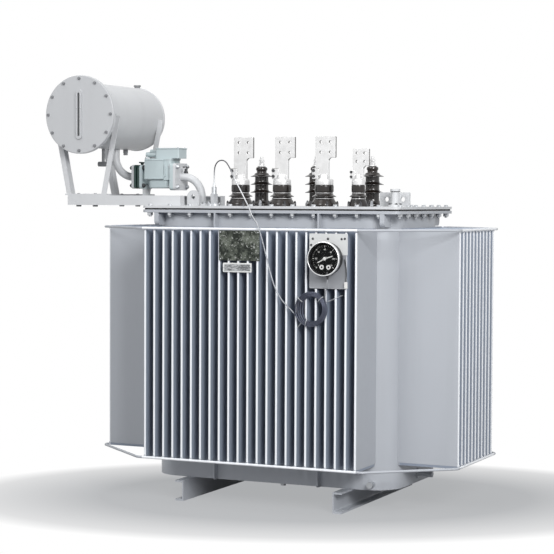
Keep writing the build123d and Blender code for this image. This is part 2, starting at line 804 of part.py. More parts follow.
with BuildPart() as hv_terminals:
    with Locations(*[(x, hv_y, cover_top + hv_height + hv_stud_out) for x in hv_places.values()]):
        Cylinder(hv_stud_r, hv_stud_out + hv_stud_in, align=(Align.CENTER, Align.CENTER, Align.MAX))
    with BuildSketch(Plane.XY.offset(cover_top + hv_height)):
        with Locations(*[(x, hv_y) for x in hv_places.values()]):
            RegularPolygon(hv_nut_r, 6)
    extrude(amount=hv_nut_t)
save(hv_terminals, "hv_terminals")


# Low-voltage bushings: flared foot, one shed, straight upper part
def lv_profile(scale):
    """Outline of a low-voltage porcelain, as (radius, height)."""
    base = lv_base_r * scale
    cap = lv_cap_r * scale
    shed = lv_shed_r * scale
    return [(0, 0), (base, 0), (base, lv_base_height), (cap, lv_flare_height),
            (cap, lv_shed_height - lv_shed_t), (shed, lv_shed_height - lv_shed_t),
            (shed, lv_shed_height), (cap - lv_groove, lv_shed_height + 2 * lv_shed_t),
            (cap - lv_groove, lv_height - lv_cap_height), (cap, lv_height - lv_cap_height),
            (cap, lv_height), (0, lv_height)]


lv_y = -half_width + lv_from_front
lv_places = {"a": (-lv_pitch, 1.0), "b": (0.0, 1.0), "c": (lv_pitch, 1.0),
             "n": (half_length - lv_neutral_from_end, neutral_scale)}
lv_top = cover_top + lv_height
for phase, (x, scale) in lv_places.items():
    rims = (lv_base_r * scale, lv_shed_r * scale, lv_cap_r * scale)
    save(turned(x, lv_y, cover_top, lv_profile(scale), rims), "lv_bushing_" + phase)

# Palms: flat connection plates that a split clamp holds above each low-voltage porcelain
with BuildPart() as lv_palms:
    for phase, (x, scale) in lv_places.items():
        size = neutral_palm_scale if phase == "n" else 1.0
        top = cover_top + (neutral_palm_rise if phase == "n" else palm_rise)
        stem_left = x - palm_stem_width * size / 2 - (palm_shift_c if phase == "c" else 0.0)
        width = palm_width * size
        height = palm_height * size
        stem = palm_stem_width * size
        with Locations((x, lv_y, lv_top)):
            Cylinder(clamp_r * scale, clamp_height, align=(Align.CENTER, Align.CENTER, Align.MIN))
        with Locations((stem_left, lv_y, lv_top + clamp_height)):
            Box(lug_block_width * size, lug_block_depth * size, lug_block_height * size,
                align=(Align.CENTER, Align.CENTER, Align.MIN))
        with BuildSketch(facing(stem_left, lv_y - palm_t / 2, top)):
            with BuildLine():
                Polyline((0, 0), (width, 0), (width, -height), (stem + palm_shoulder, -height),
                         (stem, -height - palm_shoulder), (stem, lv_top - top), (0, lv_top - top),
                         close=True)
            make_face()
            with Locations((width / 2, -height / 2)):
                with GridLocations(palm_hole_pitch * size, palm_hole_pitch * size, 2, 2):
                    Circle(palm_hole_r, mode=Mode.SUBTRACT)
        extrude(amount=-palm_t)
save(lv_palms, "lv_palms")

# Thermometer pocket: flange, hexagon body and head
pocket_y = -half_width + pocket_from_front
with BuildPart() as thermometer_pocket:
    with Locations((pocket_x, pocket_y, cover_top)):
        Cylinder(pocket_flange_r, pocket_flange_t, align=(Align.CENTER, Align.CENTER, Align.MIN))
        Cylinder(pocket_head_r, pocket_height, align=(Align.CENTER, Align.CENTER, Align.MIN))
    with BuildSketch(Plane.XY.offset(cover_top + pocket_flange_t)):
        with Locations((pocket_x, pocket_y)):
            RegularPolygon(pocket_body_r, 6)
    extrude(amount=pocket_body_height - pocket_flange_t)
save(thermometer_pocket, "thermometer_pocket")

# Coil of spare capillary, hung flat against the fins
coil_z = fin_top - coil_below_fins
with BuildPart() as capillary_coil:
    with BuildSketch(facing(coil_x, -front_tip_y, coil_z)):
        Circle(coil_outer_r)
        with Locations((coil_hole_shift, 0)):
            Ellipse(coil_hole_width / 2, coil_hole_height / 2, mode=Mode.SUBTRACT)
    extrude(amount=coil_thickness)
save(capillary_coil, "capillary_coil")

# Capillary: from the pocket over the cover's edge and down to the coil, then to the dial.
# The route is measured from the top of the front wall: along it, outwards, and up from the cover
capillary_steps = [
    (-322, -50, 92), (-322, -50, 148), (-318, -49, 200), (-292, -49, 226),
    (-256, -46, 220), (-224, -36, 176), (-188, -14, 124), (-142, 12, 66),
    (-104, 48, 28), (-60, 96, -10), (-22, 155, -40), (26, 218, -62),
    (72, 272, -96), (92, 266, -170), (112, 262, -247), (134, 266, -322),
    (160, 263, -395), (192, 258, -444), (234, 253, -482), (250, 250, -498)]
dial_steps = [(400, 250, -432), (406, 256, -394), (424, 274, -362), (424, 274, -334)]
capillary_route = [(x, -half_width - out, cover_top + up) for x, out, up in capillary_steps]
dial_route = [(x, -half_width - out, cover_top + up) for x, out, up in dial_steps]


def corner_radii(route):
    """Arc radius at each inner point: nine twentieths of the shorter run over tan of half the turn."""
    radii = []
    for before, here, after in zip(route, route[1:], route[2:]):
        run_in = Vector(*here) - Vector(*before)
        run_out = Vector(*after) - Vector(*here)
        turn = math.radians(run_in.get_angle(run_out))
        radii.append(0.45 * min(run_in.length, run_out.length) / math.tan(turn / 2))
    return radii


def tube_along(route):
    """Round tube along runs that are joined by tangent arcs, and its line's length."""
    with BuildPart() as tube:
        with BuildLine() as line:
            FilletPolyline(*route, radius=corner_radii(route))
        start = Vector(*route[1]) - Vector(*route[0])
        with BuildSketch(Plane(origin=route[0], z_dir=start)):
            Circle(capillary_r)
        sweep(path=line.line)
    return tube.part, line.wires()[0].length


long_tube, long_tube_length = tube_along(capillary_route)
short_tube, short_tube_length = tube_along(dial_route)
tube_length = long_tube_length + short_tube_length
with BuildPart() as capillary_tube:
    add(long_tube)
    add(short_tube)
    add(capillary_coil.part, mode=Mode.SUBTRACT)
save(capillary_tube, "capillary_tube")
print("capillary radii", [round(r) for r in corner_radii(capillary_route) + corner_radii(dial_route)])
section_area = math.pi * capillary_r ** 2
print("capillary volume over section times length",
      round(capillary_tube.part.volume / (section_area * tube_length), 4))

# Dial bracket: two plates in one piece against the fin tips
dial_z = fin_top - dial_below_fins
plates_top = rod_levels[1] - rod_r
bracket_top = plates_top - bracket_top_gap
bracket_bottom = dial_z - bracket_below_dial
bracket_step_z = dial_z + bracket_step_down
with BuildPart() as dial_bracket:
    with BuildSketch(facing(dial_x, -front_tip_y, 0)):
        with Locations((bracket_right / 2 - bracket_left / 2, (bracket_top + bracket_step_z) / 2)):
            Rectangle(bracket_left + bracket_right, bracket_top - bracket_step_z)
        with Locations(((bracket_right - bracket_left - bracket_step_in) / 2,
                        (bracket_top + bracket_bottom) / 2)):
            Rectangle(bracket_left + bracket_right - bracket_step_in, bracket_top - bracket_bottom)
    extrude(amount=bracket_t)
save(dial_bracket, "dial_bracket")

# Dial thermometer: can, front ring round a sunk face, and the boss for the capillary
dial_back_y = -front_tip_y - bracket_t
dial_front_y = dial_back_y - dial_depth
with BuildPart() as dial_thermometer:
    with BuildSketch(facing(dial_x, dial_back_y, dial_z)):
        Circle(dial_can_r)
    extrude(amount=dial_depth)
    with BuildSketch(facing(dial_x, dial_front_y + dial_ring_depth, dial_z)):
        Circle(dial_r)
    extrude(amount=dial_ring_depth)
    with BuildSketch(facing(dial_x, dial_front_y, dial_z)):
        Circle(dial_r - dial_ring_width)
    extrude(amount=-dial_recess, mode=Mode.SUBTRACT)
    with Locations((dial_x + dial_boss_x, dial_back_y - dial_boss_out, dial_z - dial_can_r)):
        Cylinder(dial_boss_r, 2 * dial_boss_height)
save(dial_thermometer, "dial_thermometer")

# Rating plate and label plate
rating_top = plates_top - rating_gap
label_top = rating_top - rating_height - label_gap
with BuildPart() as rating_plate:
    with Locations((rating_x, -front_tip_y, rating_top)):
        Box(rating_width, plate_t, rating_height, align=(Align.CENTER, Align.MAX, Align.MAX))
save(rating_plate, "rating_plate")

with BuildPart() as label_plate:
    with Locations((label_x, -front_tip_y, label_top)):
        Box(label_width, plate_t, label_height, align=(Align.CENTER, Align.MAX, Align.MAX))
save(label_plate, "label_plate")

# Lifting lugs on the cover: upright plates with shackle holes
with BuildPart() as lifting_lug_left:
    with BuildSketch(facing(-half_length + lug_left_from_end, lug_t / 2, cover_top)):
        with Locations((0, (lug_left_height - lug_left_r) / 2)):
            Rectangle(2 * lug_left_r, lug_left_height - lug_left_r)
        with Locations((0, lug_left_height - lug_left_r)):
            Circle(lug_left_r)
            Circle(lug_hole_r, mode=Mode.SUBTRACT)
    extrude(amount=lug_t)
save(lifting_lug_left, "lifting_lug_left")

with BuildPart() as lifting_lug_right:
    with BuildSketch(facing(half_length - lug_right_from_end, lug_t / 2, cover_top)):
        with Locations((0, lug_right_height / 2)):
            Rectangle(lug_right_length, lug_right_height)
    extrude(amount=lug_t)
    top_corners = lifting_lug_right.edges().filter_by(Axis.Y).group_by(Axis.Z)[-1]
    fillet(top_corners, lug_corner_r)
    with Locations(*[(half_length - lug_right_from_end + side * lug_hole_pitch / 2, 0,
                      cover_top + lug_hole_up) for side in (-1, 1)]):
        Cylinder(lug_hole_r, 2 * lug_t, rotation=(90, 0, 0), mode=Mode.SUBTRACT)
save(lifting_lug_right, "lifting_lug_right")

# Relief stub in front of the right lug
stub_profile = [(0, 0), (stub_foot_r, 0), (stub_foot_r, stub_foot_t), (stub_r, stub_foot_t),
                (stub_r, stub_height), (stub_cap_r, stub_height), (stub_cap_r, stub_height + stub_cap_t),
                (0, stub_height + stub_cap_t)]
save(turned(half_length - stub_from_end, -half_width + stub_from_front, cover_top, stub_profile, (stub_cap_r,)),
     "relief_stub")

# Drain valve on the right end wall, plug under the floor, earthing terminal
with BuildPart() as drain_valve:
    with Locations((half_length, 0, tank_bottom + drain_up)):
        Cylinder(drain_pad_r, drain_pad_t, rotation=(0, 90, 0),
                 align=(Align.CENTER, Align.CENTER, Align.MIN))
        Cylinder(drain_pipe_r, drain_pipe_length, rotation=(0, 90, 0),
                 align=(Align.CENTER, Align.CENTER, Align.MIN))
    with BuildSketch(Plane(origin=(half_length + drain_pipe_length, 0, tank_bottom + drain_up),
                           x_dir=(0, 1, 0), z_dir=(1, 0, 0))):
        RegularPolygon(drain_cap_r, 6)
    extrude(amount=drain_cap_length)
save(drain_valve, "drain_valve")

with BuildPart() as drain_plug:
    with BuildSketch(Plane.XY.offset(tank_bottom)):
        with Locations((plug_x, -half_width + plug_from_front)):
            RegularPolygon(plug_r, 6)
    extrude(amount=-plug_height)
save(drain_plug, "drain_plug")

with BuildPart() as earth_terminal:
    with Locations((half_length - earth_from_end, -half_width, tank_bottom + earth_up)):
        Cylinder(earth_r, 2 * earth_out, rotation=(90, 0, 0))
    add(tank_body.part, mode=Mode.SUBTRACT)
save(earth_terminal, "earth_terminal")
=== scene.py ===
import math
import bmesh
import bpy
import numpy as np
from mathutils import Matrix, Vector


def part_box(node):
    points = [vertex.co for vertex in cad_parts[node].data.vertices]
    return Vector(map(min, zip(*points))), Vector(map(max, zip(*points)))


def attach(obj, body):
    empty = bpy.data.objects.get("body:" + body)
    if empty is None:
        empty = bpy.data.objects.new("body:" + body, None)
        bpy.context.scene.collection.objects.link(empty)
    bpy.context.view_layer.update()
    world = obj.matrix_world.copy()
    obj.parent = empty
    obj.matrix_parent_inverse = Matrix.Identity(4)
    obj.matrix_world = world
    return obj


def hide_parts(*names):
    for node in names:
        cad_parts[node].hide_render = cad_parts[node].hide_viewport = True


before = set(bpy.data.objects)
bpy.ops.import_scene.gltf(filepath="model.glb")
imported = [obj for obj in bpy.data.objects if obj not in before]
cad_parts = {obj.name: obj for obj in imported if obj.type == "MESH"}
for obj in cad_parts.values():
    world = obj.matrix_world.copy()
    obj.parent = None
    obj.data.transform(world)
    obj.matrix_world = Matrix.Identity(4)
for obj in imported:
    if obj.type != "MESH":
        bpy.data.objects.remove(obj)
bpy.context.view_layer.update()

# Camera: it stands to the right of the front at the photograph's distance, with a long lens,
# a little above the cover, turned 24.6 degrees to the left and 2.5 degrees down.
turn, dip, roll = 0.4288, 0.0431, 0.0046
camera = bpy.data.objects.new("camera", bpy.data.cameras.new("camera"))
camera.data.sensor_width = 36.0
camera.data.lens = 36.0 * 1768.15 / 554.0
camera.data.clip_end = 60.0
camera.matrix_world = (Matrix.Translation((3.58727, -8.10110, 1.46828)) @ Matrix.Rotation(turn, 4, "Z")
                       @ Matrix.Rotation(math.pi / 2 - dip, 4, "X") @ Matrix.Rotation(roll, 4, "Z"))
bpy.context.collection.objects.link(camera)
bpy.context.scene.camera = camera
bpy.context.scene.view_settings.view_transform = "Standard"


# Capillary: a drawn metal tube of 6 mm that carries the bulb's pressure from the pocket on the
# cover to the dial. The spare length is wound into a loose flat coil and tied to the fins.
class Wire:
    """One output of a material's nodes. Arithmetic on it adds the Math nodes that it needs."""

    def __init__(self, tree, socket=None):
        self.tree, self.socket = tree, socket

    def node(self, kind, inputs=None, out=0, **settings):
        """Adds a node: its settings first, then its inputs by name or number. Gives one output."""
        made = self.tree.nodes.new(kind)
        for name, value in settings.items():
            setattr(made, name, value)
        for name, value in (inputs or {}).items():
            if isinstance(value, Wire):
                self.tree.links.new(value.socket, made.inputs[name])
            elif hasattr(value, "__len__") and len(made.inputs[name].default_value) == 4 and len(value) == 3:
                made.inputs[name].default_value = tuple(value) + (1.0,)
            else:
                made.inputs[name].default_value = value
        return Wire(self.tree, made.outputs[out])

    def maths(self, how, a, b=0.0, clamp=False):
        return self.node("ShaderNodeMath", {0: a, 1: b}, operation=how, use_clamp=clamp)

    def __add__(self, other): return self.maths("ADD", self, other)
    def __radd__(self, other): return self.maths("ADD", other, self)
    def __sub__(self, other): return self.maths("SUBTRACT", self, other)
    def __rsub__(self, other): return self.maths("SUBTRACT", other, self)
    def __mul__(self, other): return self.maths("MULTIPLY", self, other)
    def __rmul__(self, other): return self.maths("MULTIPLY", other, self)

    def clipped(self):
        return self.maths("ADD", self, 0.0, clamp=True)

    def along(self, axis):
        """One coordinate of this vector: nought, one or two for X, Y or Z."""
        return self.node("ShaderNodeSeparateXYZ", {0: self}, out=axis)

    def between(self, low, high):
        """Nought below low, one above high, and straight in between."""
        return self.maths("DIVIDE", self - low, high - low, clamp=True)

    def blend(self, first, second):
        """Colour that goes from the first to the second as this wire goes from nought to one."""
        return self.node("ShaderNodeMix", {"Factor": self.clipped(), 6: first, 7: second}, out=2,
                         data_type="RGBA")

    def noise(self, scale, detail=2.0, rough=0.5, stretch=(1.0, 1.0, 1.0)):
        """Soft noise on this vector, from nought to one, with the pattern stretched by the scale given."""
        vector = self.node("ShaderNodeMapping", {"Vector": self, "Scale": stretch})
        return self.node("ShaderNodeTexNoise",
                         {"Vector": vector, "Scale": scale, "Detail": detail, "Roughness": rough})

    def bump(self, strength, distance):
        return self.node("ShaderNodeBump", {"Height": self, "Strength": strength, "Distance": distance})


def finish_of(name, shade, colour=(0.8, 0.8, 0.8), **constants):
    """Material whose shade function takes the object's coordinates and gives the varying sockets."""
    made = bpy.data.materials.new(name)
    made.use_nodes = True
    shader = made.node_tree.nodes["Principled BSDF"]
    shader.inputs["Base Color"].default_value = tuple(colour) + (1.0,)
    for socket, value in constants.items():
        shader.inputs[socket.replace("_", " ")].default_value = value
    start = Wire(made.node_tree)
    coords = start.node("ShaderNodeTexCoord", out=3)
    for socket, value in shade(coords).items():
        made.node_tree.links.new(value.socket, shader.inputs[socket])
    made.diffuse_color = tuple(colour) + (1.0,)
    return made


coil_x, coil_z = 330.0, 968.0


def drawn_metal(at):
    """Drawn tube with dull patches, its tones matched to the photograph and painted by height as light and shade:
    painted shade makes it dark blue in the coil, within 86 mm of its middle, and dull just above it, painted light
    makes it bright from there, and painted shade makes it dark over the cover."""
    patch = at.noise(24.0, 3.0)
    mark = at.noise(600.0, 2.0)
    aside = at.along(0) - coil_x / 1000.0
    up = at.along(2) - coil_z / 1000.0
    # Painted shade: dark blue in the coil, dull up to about 1.33 m and dark from about 1.6 m over the cover; painted
    # light: bright in between.
    coil_painted_shade = (aside * aside + up * up).between(0.0073, 0.0082)
    dull = patch.blend((0.16, 0.17, 0.19), (0.42, 0.43, 0.45))
    painted_light_run = up.between(0.36, 0.44).blend(dull, (0.60, 0.61, 0.63))
    run = up.between(0.60, 0.66).blend(painted_light_run, (0.09, 0.09, 0.10))
    return {"Base Color": coil_painted_shade.blend(patch.blend((0.046, 0.051, 0.072), (0.11, 0.12, 0.16)), run),
            "Roughness": 0.30 + 0.25 * patch, "Normal": mark.bump(0.25, 0.0004)}


capillary_metal = finish_of("capillary_metal", drawn_metal, Metallic=0.85)


def coil_turns():
    """Points of the coil: a flat spiral inwards, a step forward, and a flat spiral back outwards.
    The radius shrinks evenly with the angle, more on the left side, where the turns fan out."""
    first, last, steps = math.radians(203.0), math.radians(22.0 + 360.0 * 8), 120
    angle = np.linspace(first, last, steps)
    done = (angle - first) / (last - first)
    inward = np.minimum(np.minimum(done / 0.47, (1.0 - done) / 0.47), 1.0)
    fan = 20.7 + 24.0 * (0.5 - 0.5 * np.cos(angle)) ** 4
    radius = (82.0 - fan * inward) / math.cos((last - first) / (steps - 1) / 2)
    forward = np.clip((done - 0.45) / 0.1, 0.0, 1.0)
    return np.stack([coil_x + radius * np.cos(angle), -595.2 - 9.6 * forward,
                     coil_z + radius * np.sin(angle)], axis=1)


wall_y, cover_z = 350.0, 1442.0
down_steps = [(-322, 50, 92), (-322, 50, 148), (-318, 49, 200), (-292, 49, 226), (-256, 46, 220),
              (-224, 36, 176), (-188, 14, 124), (-142, -12, 66), (-104, -48, 28), (-60, -96, -10),
              (-22, -155, -40), (26, -218, -62), (72, -272, -96), (92, -266, -170), (112, -262, -247),
              (134, -266, -322), (160, -263, -395), (192, -258, -444), (234, -253, -482)]
dial_steps = [(406, -256, -394), (424, -274, -362), (424, -274, -334)]
down_run = [(x, out - wall_y, cover_z + up) for x, out, up in down_steps]
dial_run = [(x, out - wall_y, cover_z + up) for x, out, up in dial_steps]
route = np.array(down_run + coil_turns().tolist() + dial_run) / 1000.0
line = bpy.data.curves.new("capillary", "CURVE")
line.dimensions = "3D"
line.resolution_u = 8
line.bevel_depth = 0.003
line.bevel_resolution = 3
line.use_fill_caps = True
spline = line.splines.new("NURBS")
spline.points.add(len(route) - 1)
spline.points.foreach_set("co", np.column_stack([route, np.ones(len(route))]).ravel())
spline.order_u = 3
spline.use_endpoint_u = True
capillary = bpy.data.objects.new("capillary", line)
bpy.context.collection.objects.link(capillary)
line.materials.append(capillary_metal)
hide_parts("capillary_tube", "capillary_coil")
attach(capillary, "root")


# Studio: a plain pale floor that runs off to white, and a soft even sky with three large soft lamps.
# A grey patch under the object, a painted shadow, fades to white all round: the floor's own light for the camera,
# with a share of the matt surface that the object shades.
floor_mesh = bpy.data.meshes.new("floor")
floor_mesh.from_pydata([(-40, -40, 0), (40, -40, 0), (40, 40, 0), (-40, 40, 0)], [], [(0, 1, 2, 3)])
floor = bpy.data.objects.new("floor", floor_mesh)
floor_paint = bpy.data.materials.new("floor_paint")
floor_paint.use_nodes = True
tree = floor_paint.node_tree
tree.nodes.clear()
start = Wire(tree)
at = start.node("ShaderNodeTexCoord", out=3)
centred = start.node("ShaderNodeMapping", {"Vector": at, "Location": (0.13, -0.06, 0.0),
                     "Rotation": (0.0, 0.0, turn), "Scale": (1.52, 1.0, 1.0)}, vector_type="TEXTURE")
far = start.node("ShaderNodeVectorMath", {0: centred}, out=1, operation="LENGTH").between(0.70, 1.24)
matt = start.node("ShaderNodeBsdfDiffuse", {"Color": (0.38, 0.38, 0.39)})
# The floor's own light is grey near the object: a painted shadow.
glow_with_painted_shadow = start.node("ShaderNodeEmission", {"Color": far.blend((0.550, 0.562, 0.575), (1.0, 1.0, 1.0)), "Strength": 1.0})
seen, glossy = (start.node("ShaderNodeLightPath", out=ray) for ray in (0, 3))
share = far.maths("MAXIMUM", far, 0.74) * seen + far * glossy
both = start.node("ShaderNodeMixShader", {0: share, 1: matt, 2: glow_with_painted_shadow})
tree.links.new(both.socket, tree.nodes.new("ShaderNodeOutputMaterial").inputs["Surface"])
floor_mesh.materials.append(floor_paint)
bpy.context.collection.objects.link(floor)

sky = bpy.data.worlds.new("sky")
bpy.context.scene.world = sky
sky.use_nodes = True
sky.node_tree.nodes.clear()
air = Wire(sky.node_tree)
seen, glossy, through = (air.node("ShaderNodeLightPath", out=ray) for ray in (0, 3, 6))
direct = (seen + glossy + through).clipped()
white = air.node("ShaderNodeBackground", {"Color": (1.0, 1.0, 1.0), "Strength": 1.0})
soft = air.node("ShaderNodeBackground", {"Color": (0.96, 0.98, 1.0), "Strength": 0.31})
mixed = air.node("ShaderNodeMixShader", {0: direct, 1: soft, 2: white})
sky.node_tree.links.new(mixed.socket, sky.node_tree.nodes.new("ShaderNodeOutputWorld").inputs["Surface"])


def soft_lamp(name, spot, aim, size, power):
    """Square lamp at a spot, turned to face its aim."""
    lamp = bpy.data.lights.new(name, "AREA")
    lamp.size, lamp.energy = size, power
    made = bpy.data.objects.new(name, lamp)
    made.location = spot
    made.rotation_euler = (Vector(aim) - Vector(spot)).to_track_quat("-Z", "Y").to_euler()
    bpy.context.collection.objects.link(made)


soft_lamp("lamp_key", (4.6, -4.8, 3.8), (0.0, 0.0, 0.9), 2.4, 370.0)
soft_lamp("lamp_front", (-1.4, -6.2, 5.2), (0.0, 0.0, 0.9), 2.6, 180.0)
soft_lamp("lamp_top", (-0.8, -0.6, 6.0), (0.0, 0.0, 1.0), 4.0, 80.0)


# Tank: folded and welded sheet steel with rolled corners, sprayed with two coats of blue-grey enamel
# after the fins, rim, stiffeners and hooks were welded on, so that one finish covers them all.
def enamel(body, dust, mottle=0.03, peel=0.10, edge=None):
    """Sprayed enamel: broad drifts of shade, faint runs of dust down the walls, orange peel. With an edge colour,
    painted shade darkens it with depth in the folds of the fins, a painted highlight of that colour makes it paler at
    their tips, 590 mm to the front or back and 940 mm to the side, and painted shade makes it darker on the flat
    faces outside the folds. These three are matched to the photograph's tones."""
    body, dust = np.array(body), np.array(dust)

    def shade(at):
        drift = at.noise(2.2, 3.0)
        runs = at.noise(9.0, 4.0, 0.6, stretch=(1.0, 1.0, 0.07))
        spots = at.noise(55.0, 3.0)
        grain = at.noise(420.0, 2.0)
        tint = runs.between(0.52, 0.80) * 0.28 + spots.between(0.62, 0.80) * 0.10

        def coat(level):
            base = drift.blend(tuple(body * level * (1 - mottle)), tuple(body * level * (1 + mottle)))
            return tint.blend(base, tuple(dust * level))

        colour = coat(1.0)
        if edge:
            # Painted shade deep in the folds and on the flat faces outside them, and a painted highlight at the fin
            # tips.
            aside, forward = (at.maths("ABSOLUTE", at.along(axis)) for axis in (0, 1))
            fold = (at.maths("GREATER_THAN", forward, 0.350) * at.maths("LESS_THAN", aside, 0.5545)
                    + at.maths("GREATER_THAN", aside, 0.645) * at.maths("LESS_THAN", forward, 0.2545))
            deep = fold * (forward.between(0.575, 0.490) + aside.between(0.925, 0.840)).clipped()
            painted_tip_highlight = forward.between(0.582, 0.5885) + aside.between(0.932, 0.9385)
            colour = deep.blend(fold.blend(coat(0.80), colour), tuple(body * (0.55, 0.60, 0.68)))
            colour = painted_tip_highlight.blend(colour, edge)
        return {"Base Color": colour,
                "Roughness": 0.33 + 0.10 * drift + 0.12 * spots,
                "Normal": grain.bump(peel, 0.0006)}
    return shade


# Painted shade: tank_paint is a copy of the fins' enamel about 16 % darker, standing for the shade on the wall, skirt
# and channels under the fins; the rim, stiffeners, hooks, corner rods, drain valve and welds carry the same darker
# copy.
tank_paint = finish_of("tank_paint", enamel((0.420, 0.440, 0.474), (0.337, 0.353, 0.381)), Coat_Weight=0.10)
# The edge colour is the painted highlight at the fin tips and on the rods there.
fin_paint = finish_of("fin_paint", enamel((0.500, 0.524, 0.565), (0.400, 0.420, 0.453), edge=(0.82, 0.84, 0.87)),
                      Coat_Weight=0.10)


def repaint(names, material):
    """Puts one finish in every material slot of the CAD nodes named."""
    for name in names:
        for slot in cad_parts[name].material_slots:
            slot.material = material


repaint(["tank_body", "tank_flange", "tie_rods_corner", "stiffener_bars", "lifting_hooks", "base_channel_left",
         "base_channel_right", "drain_valve"], tank_paint)
repaint(["fins_front", "fins_back", "fins_left", "fins_right", "tie_rods_long", "tie_rods_end"], fin_paint)


def add_piece(name, points, faces, material, slot, *stands_for, smooth=True):
    """New object from points in millimetres and faces, riding on the body with its finish."""
    mesh = bpy.data.meshes.new(name)
    faces = faces if isinstance(faces, list) else faces.tolist()
    mesh.from_pydata((np.asarray(points) / 1000.0).tolist(), [], faces)
    clean = bmesh.new()
    clean.from_mesh(mesh)
    bmesh.ops.remove_doubles(clean, verts=clean.verts, dist=1e-6)
    bmesh.ops.recalc_face_normals(clean, faces=clean.faces)
    clean.to_mesh(mesh)
    clean.free()
    if smooth:
        mesh.shade_smooth()
        mesh.set_sharp_from_angle(angle=0.38)
    mesh.materials.append(material)
    mesh.validate()
    made = bpy.data.objects.new(name, mesh)
    bpy.context.collection.objects.link(made)
    if stands_for:
        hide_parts(*stands_for)
    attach(made, "root")
    return made


def basis(axis):
    """Two unit vectors square to an axis and to each other."""
    axis = np.asarray(axis, float) / np.linalg.norm(axis)
    side = np.cross((0.0, 0.0, 1.0) if abs(axis[2]) < 0.9 else (1.0, 0.0, 0.0), axis)
    side = side / np.linalg.norm(side)
    return side, np.cross(axis, side), axis


def turned(profile, spots, axis, around=24, phase=0.0):
    """Profile of (radius, height) turned about an axis at each spot. Points are spot + radius times
    a circle + height along the axis; the profile starts and ends on the axis, so it is closed."""
    side, up, along = basis(axis)
    profile = np.asarray(profile, float)
    angle = np.arange(around) * 2 * math.pi / around + phase
    circle = np.cos(angle)[:, None] * side + np.sin(angle)[:, None] * up
    ring = profile[:, None, 0, None] * circle[None] + profile[:, None, 1, None] * along
    return joined(*(skin(spot + ring) for spot in np.atleast_2d(np.asarray(spots, float))))


def joined(*parts):
    """Several (points, faces) pairs as one."""
    points, faces, start = [], [], 0
    for some_points, some_faces in parts:
        points.append(some_points)
        if isinstance(some_faces, list):
            faces += [tuple(corner + start for corner in face) for face in some_faces]
        else:
            faces += (some_faces + start).tolist()
        start += len(some_points)
    return np.concatenate(points), faces


def rounded(corners, radii, steps=4):
    """Outline with its corners rounded: each inner corner becomes a quadratic curve that starts and
    ends one radius away from it, so P(t) = (1-t)^2 before + 2t(1-t) corner + t^2 after."""
    corners = np.asarray(corners, float)
    radii = np.broadcast_to(np.asarray(radii, float), (len(corners) - 2,))
    back, on = corners[:-2] - corners[1:-1], corners[2:] - corners[1:-1]
    back_length, on_length = np.linalg.norm(back, axis=1), np.linalg.norm(on, axis=1)
    reach = np.minimum(radii, 0.49 * np.minimum(back_length, on_length))[:, None]
    start = corners[1:-1] + back / back_length[:, None] * reach
    end = corners[1:-1] + on / on_length[:, None] * reach
    t = np.linspace(0.0, 1.0, steps)[None, :, None]
    curve = (1 - t) ** 2 * start[:, None] + 2 * t * (1 - t) * corners[1:-1, None] + t ** 2 * end[:, None]
    return np.concatenate([corners[:1], curve.reshape(-1, corners.shape[1]), corners[-1:]])


def skin(rings, closed=False):
    """Faces between rings of points: each ring is closed, and the rings follow one another."""
    rings = np.asarray(rings)
    rows, around = rings.shape[:2]
    last = rows if closed else rows - 1
    row, column = np.arange(last)[:, None], np.arange(around)[None]
    here, beside = row * around, (row + 1) % rows * around
    quads = np.stack([here + column, here + (column + 1) % around,
                      beside + (column + 1) % around, beside + column], axis=-1)
    return rings.reshape(-1, 3), quads.reshape(-1, 4)


def tube(path, radius, up, around=10, closed=False, ripple=0.0, step=7.0):
    """Round bar along a path: each point plus a circle in the plane across it. A weld's radius
    swells and shrinks evenly with the distance along it, as its drops do."""
    path = np.asarray(path, float)
    ahead = np.roll(path, -1, 0) - np.roll(path, 1, 0) if closed else np.gradient(path, axis=0)
    ahead = ahead / np.linalg.norm(ahead, axis=1)[:, None]
    side = np.cross(ahead, np.broadcast_to(up, ahead.shape))
    side = side / np.linalg.norm(side, axis=1)[:, None]
    top = np.cross(side, ahead)
    run = np.concatenate([[0.0], np.cumsum(np.linalg.norm(np.diff(path, axis=0), axis=1))])
    size = radius * (1.0 + ripple * np.cos(run * 2 * math.pi / step))
    if not closed:
        path = np.concatenate([path[:1], path, path[-1:]])
        side, top = (np.concatenate([v[:1], v, v[-1:]]) for v in (side, top))
        size = np.concatenate([[0.0], size, [0.0]])
    angle = np.arange(around) * 2 * math.pi / around
    rings = (path[:, None] + size[:, None, None] * (np.cos(angle)[None, :, None] * side[:, None]
             + np.sin(angle)[None, :, None] * top[:, None]))
    return skin(rings[:, ::-1], closed)


def ring_path(spot, radius, axis, count=64):
    """Points of a circle about an axis."""
    side, up, _ = basis(axis)
    angle = np.arange(count) * 2 * math.pi / count
    return np.asarray(spot) + radius * (np.cos(angle)[:, None] * side + np.sin(angle)[:, None] * up)


def straight(start, end, gap=2.5):
    """Even points from start to end."""
    start, end = np.asarray(start, float), np.asarray(end, float)
    count = max(2, int(np.linalg.norm(end - start) / gap) + 1)
    return start + (end - start) * np.linspace(0.0, 1.0, count)[:, None]


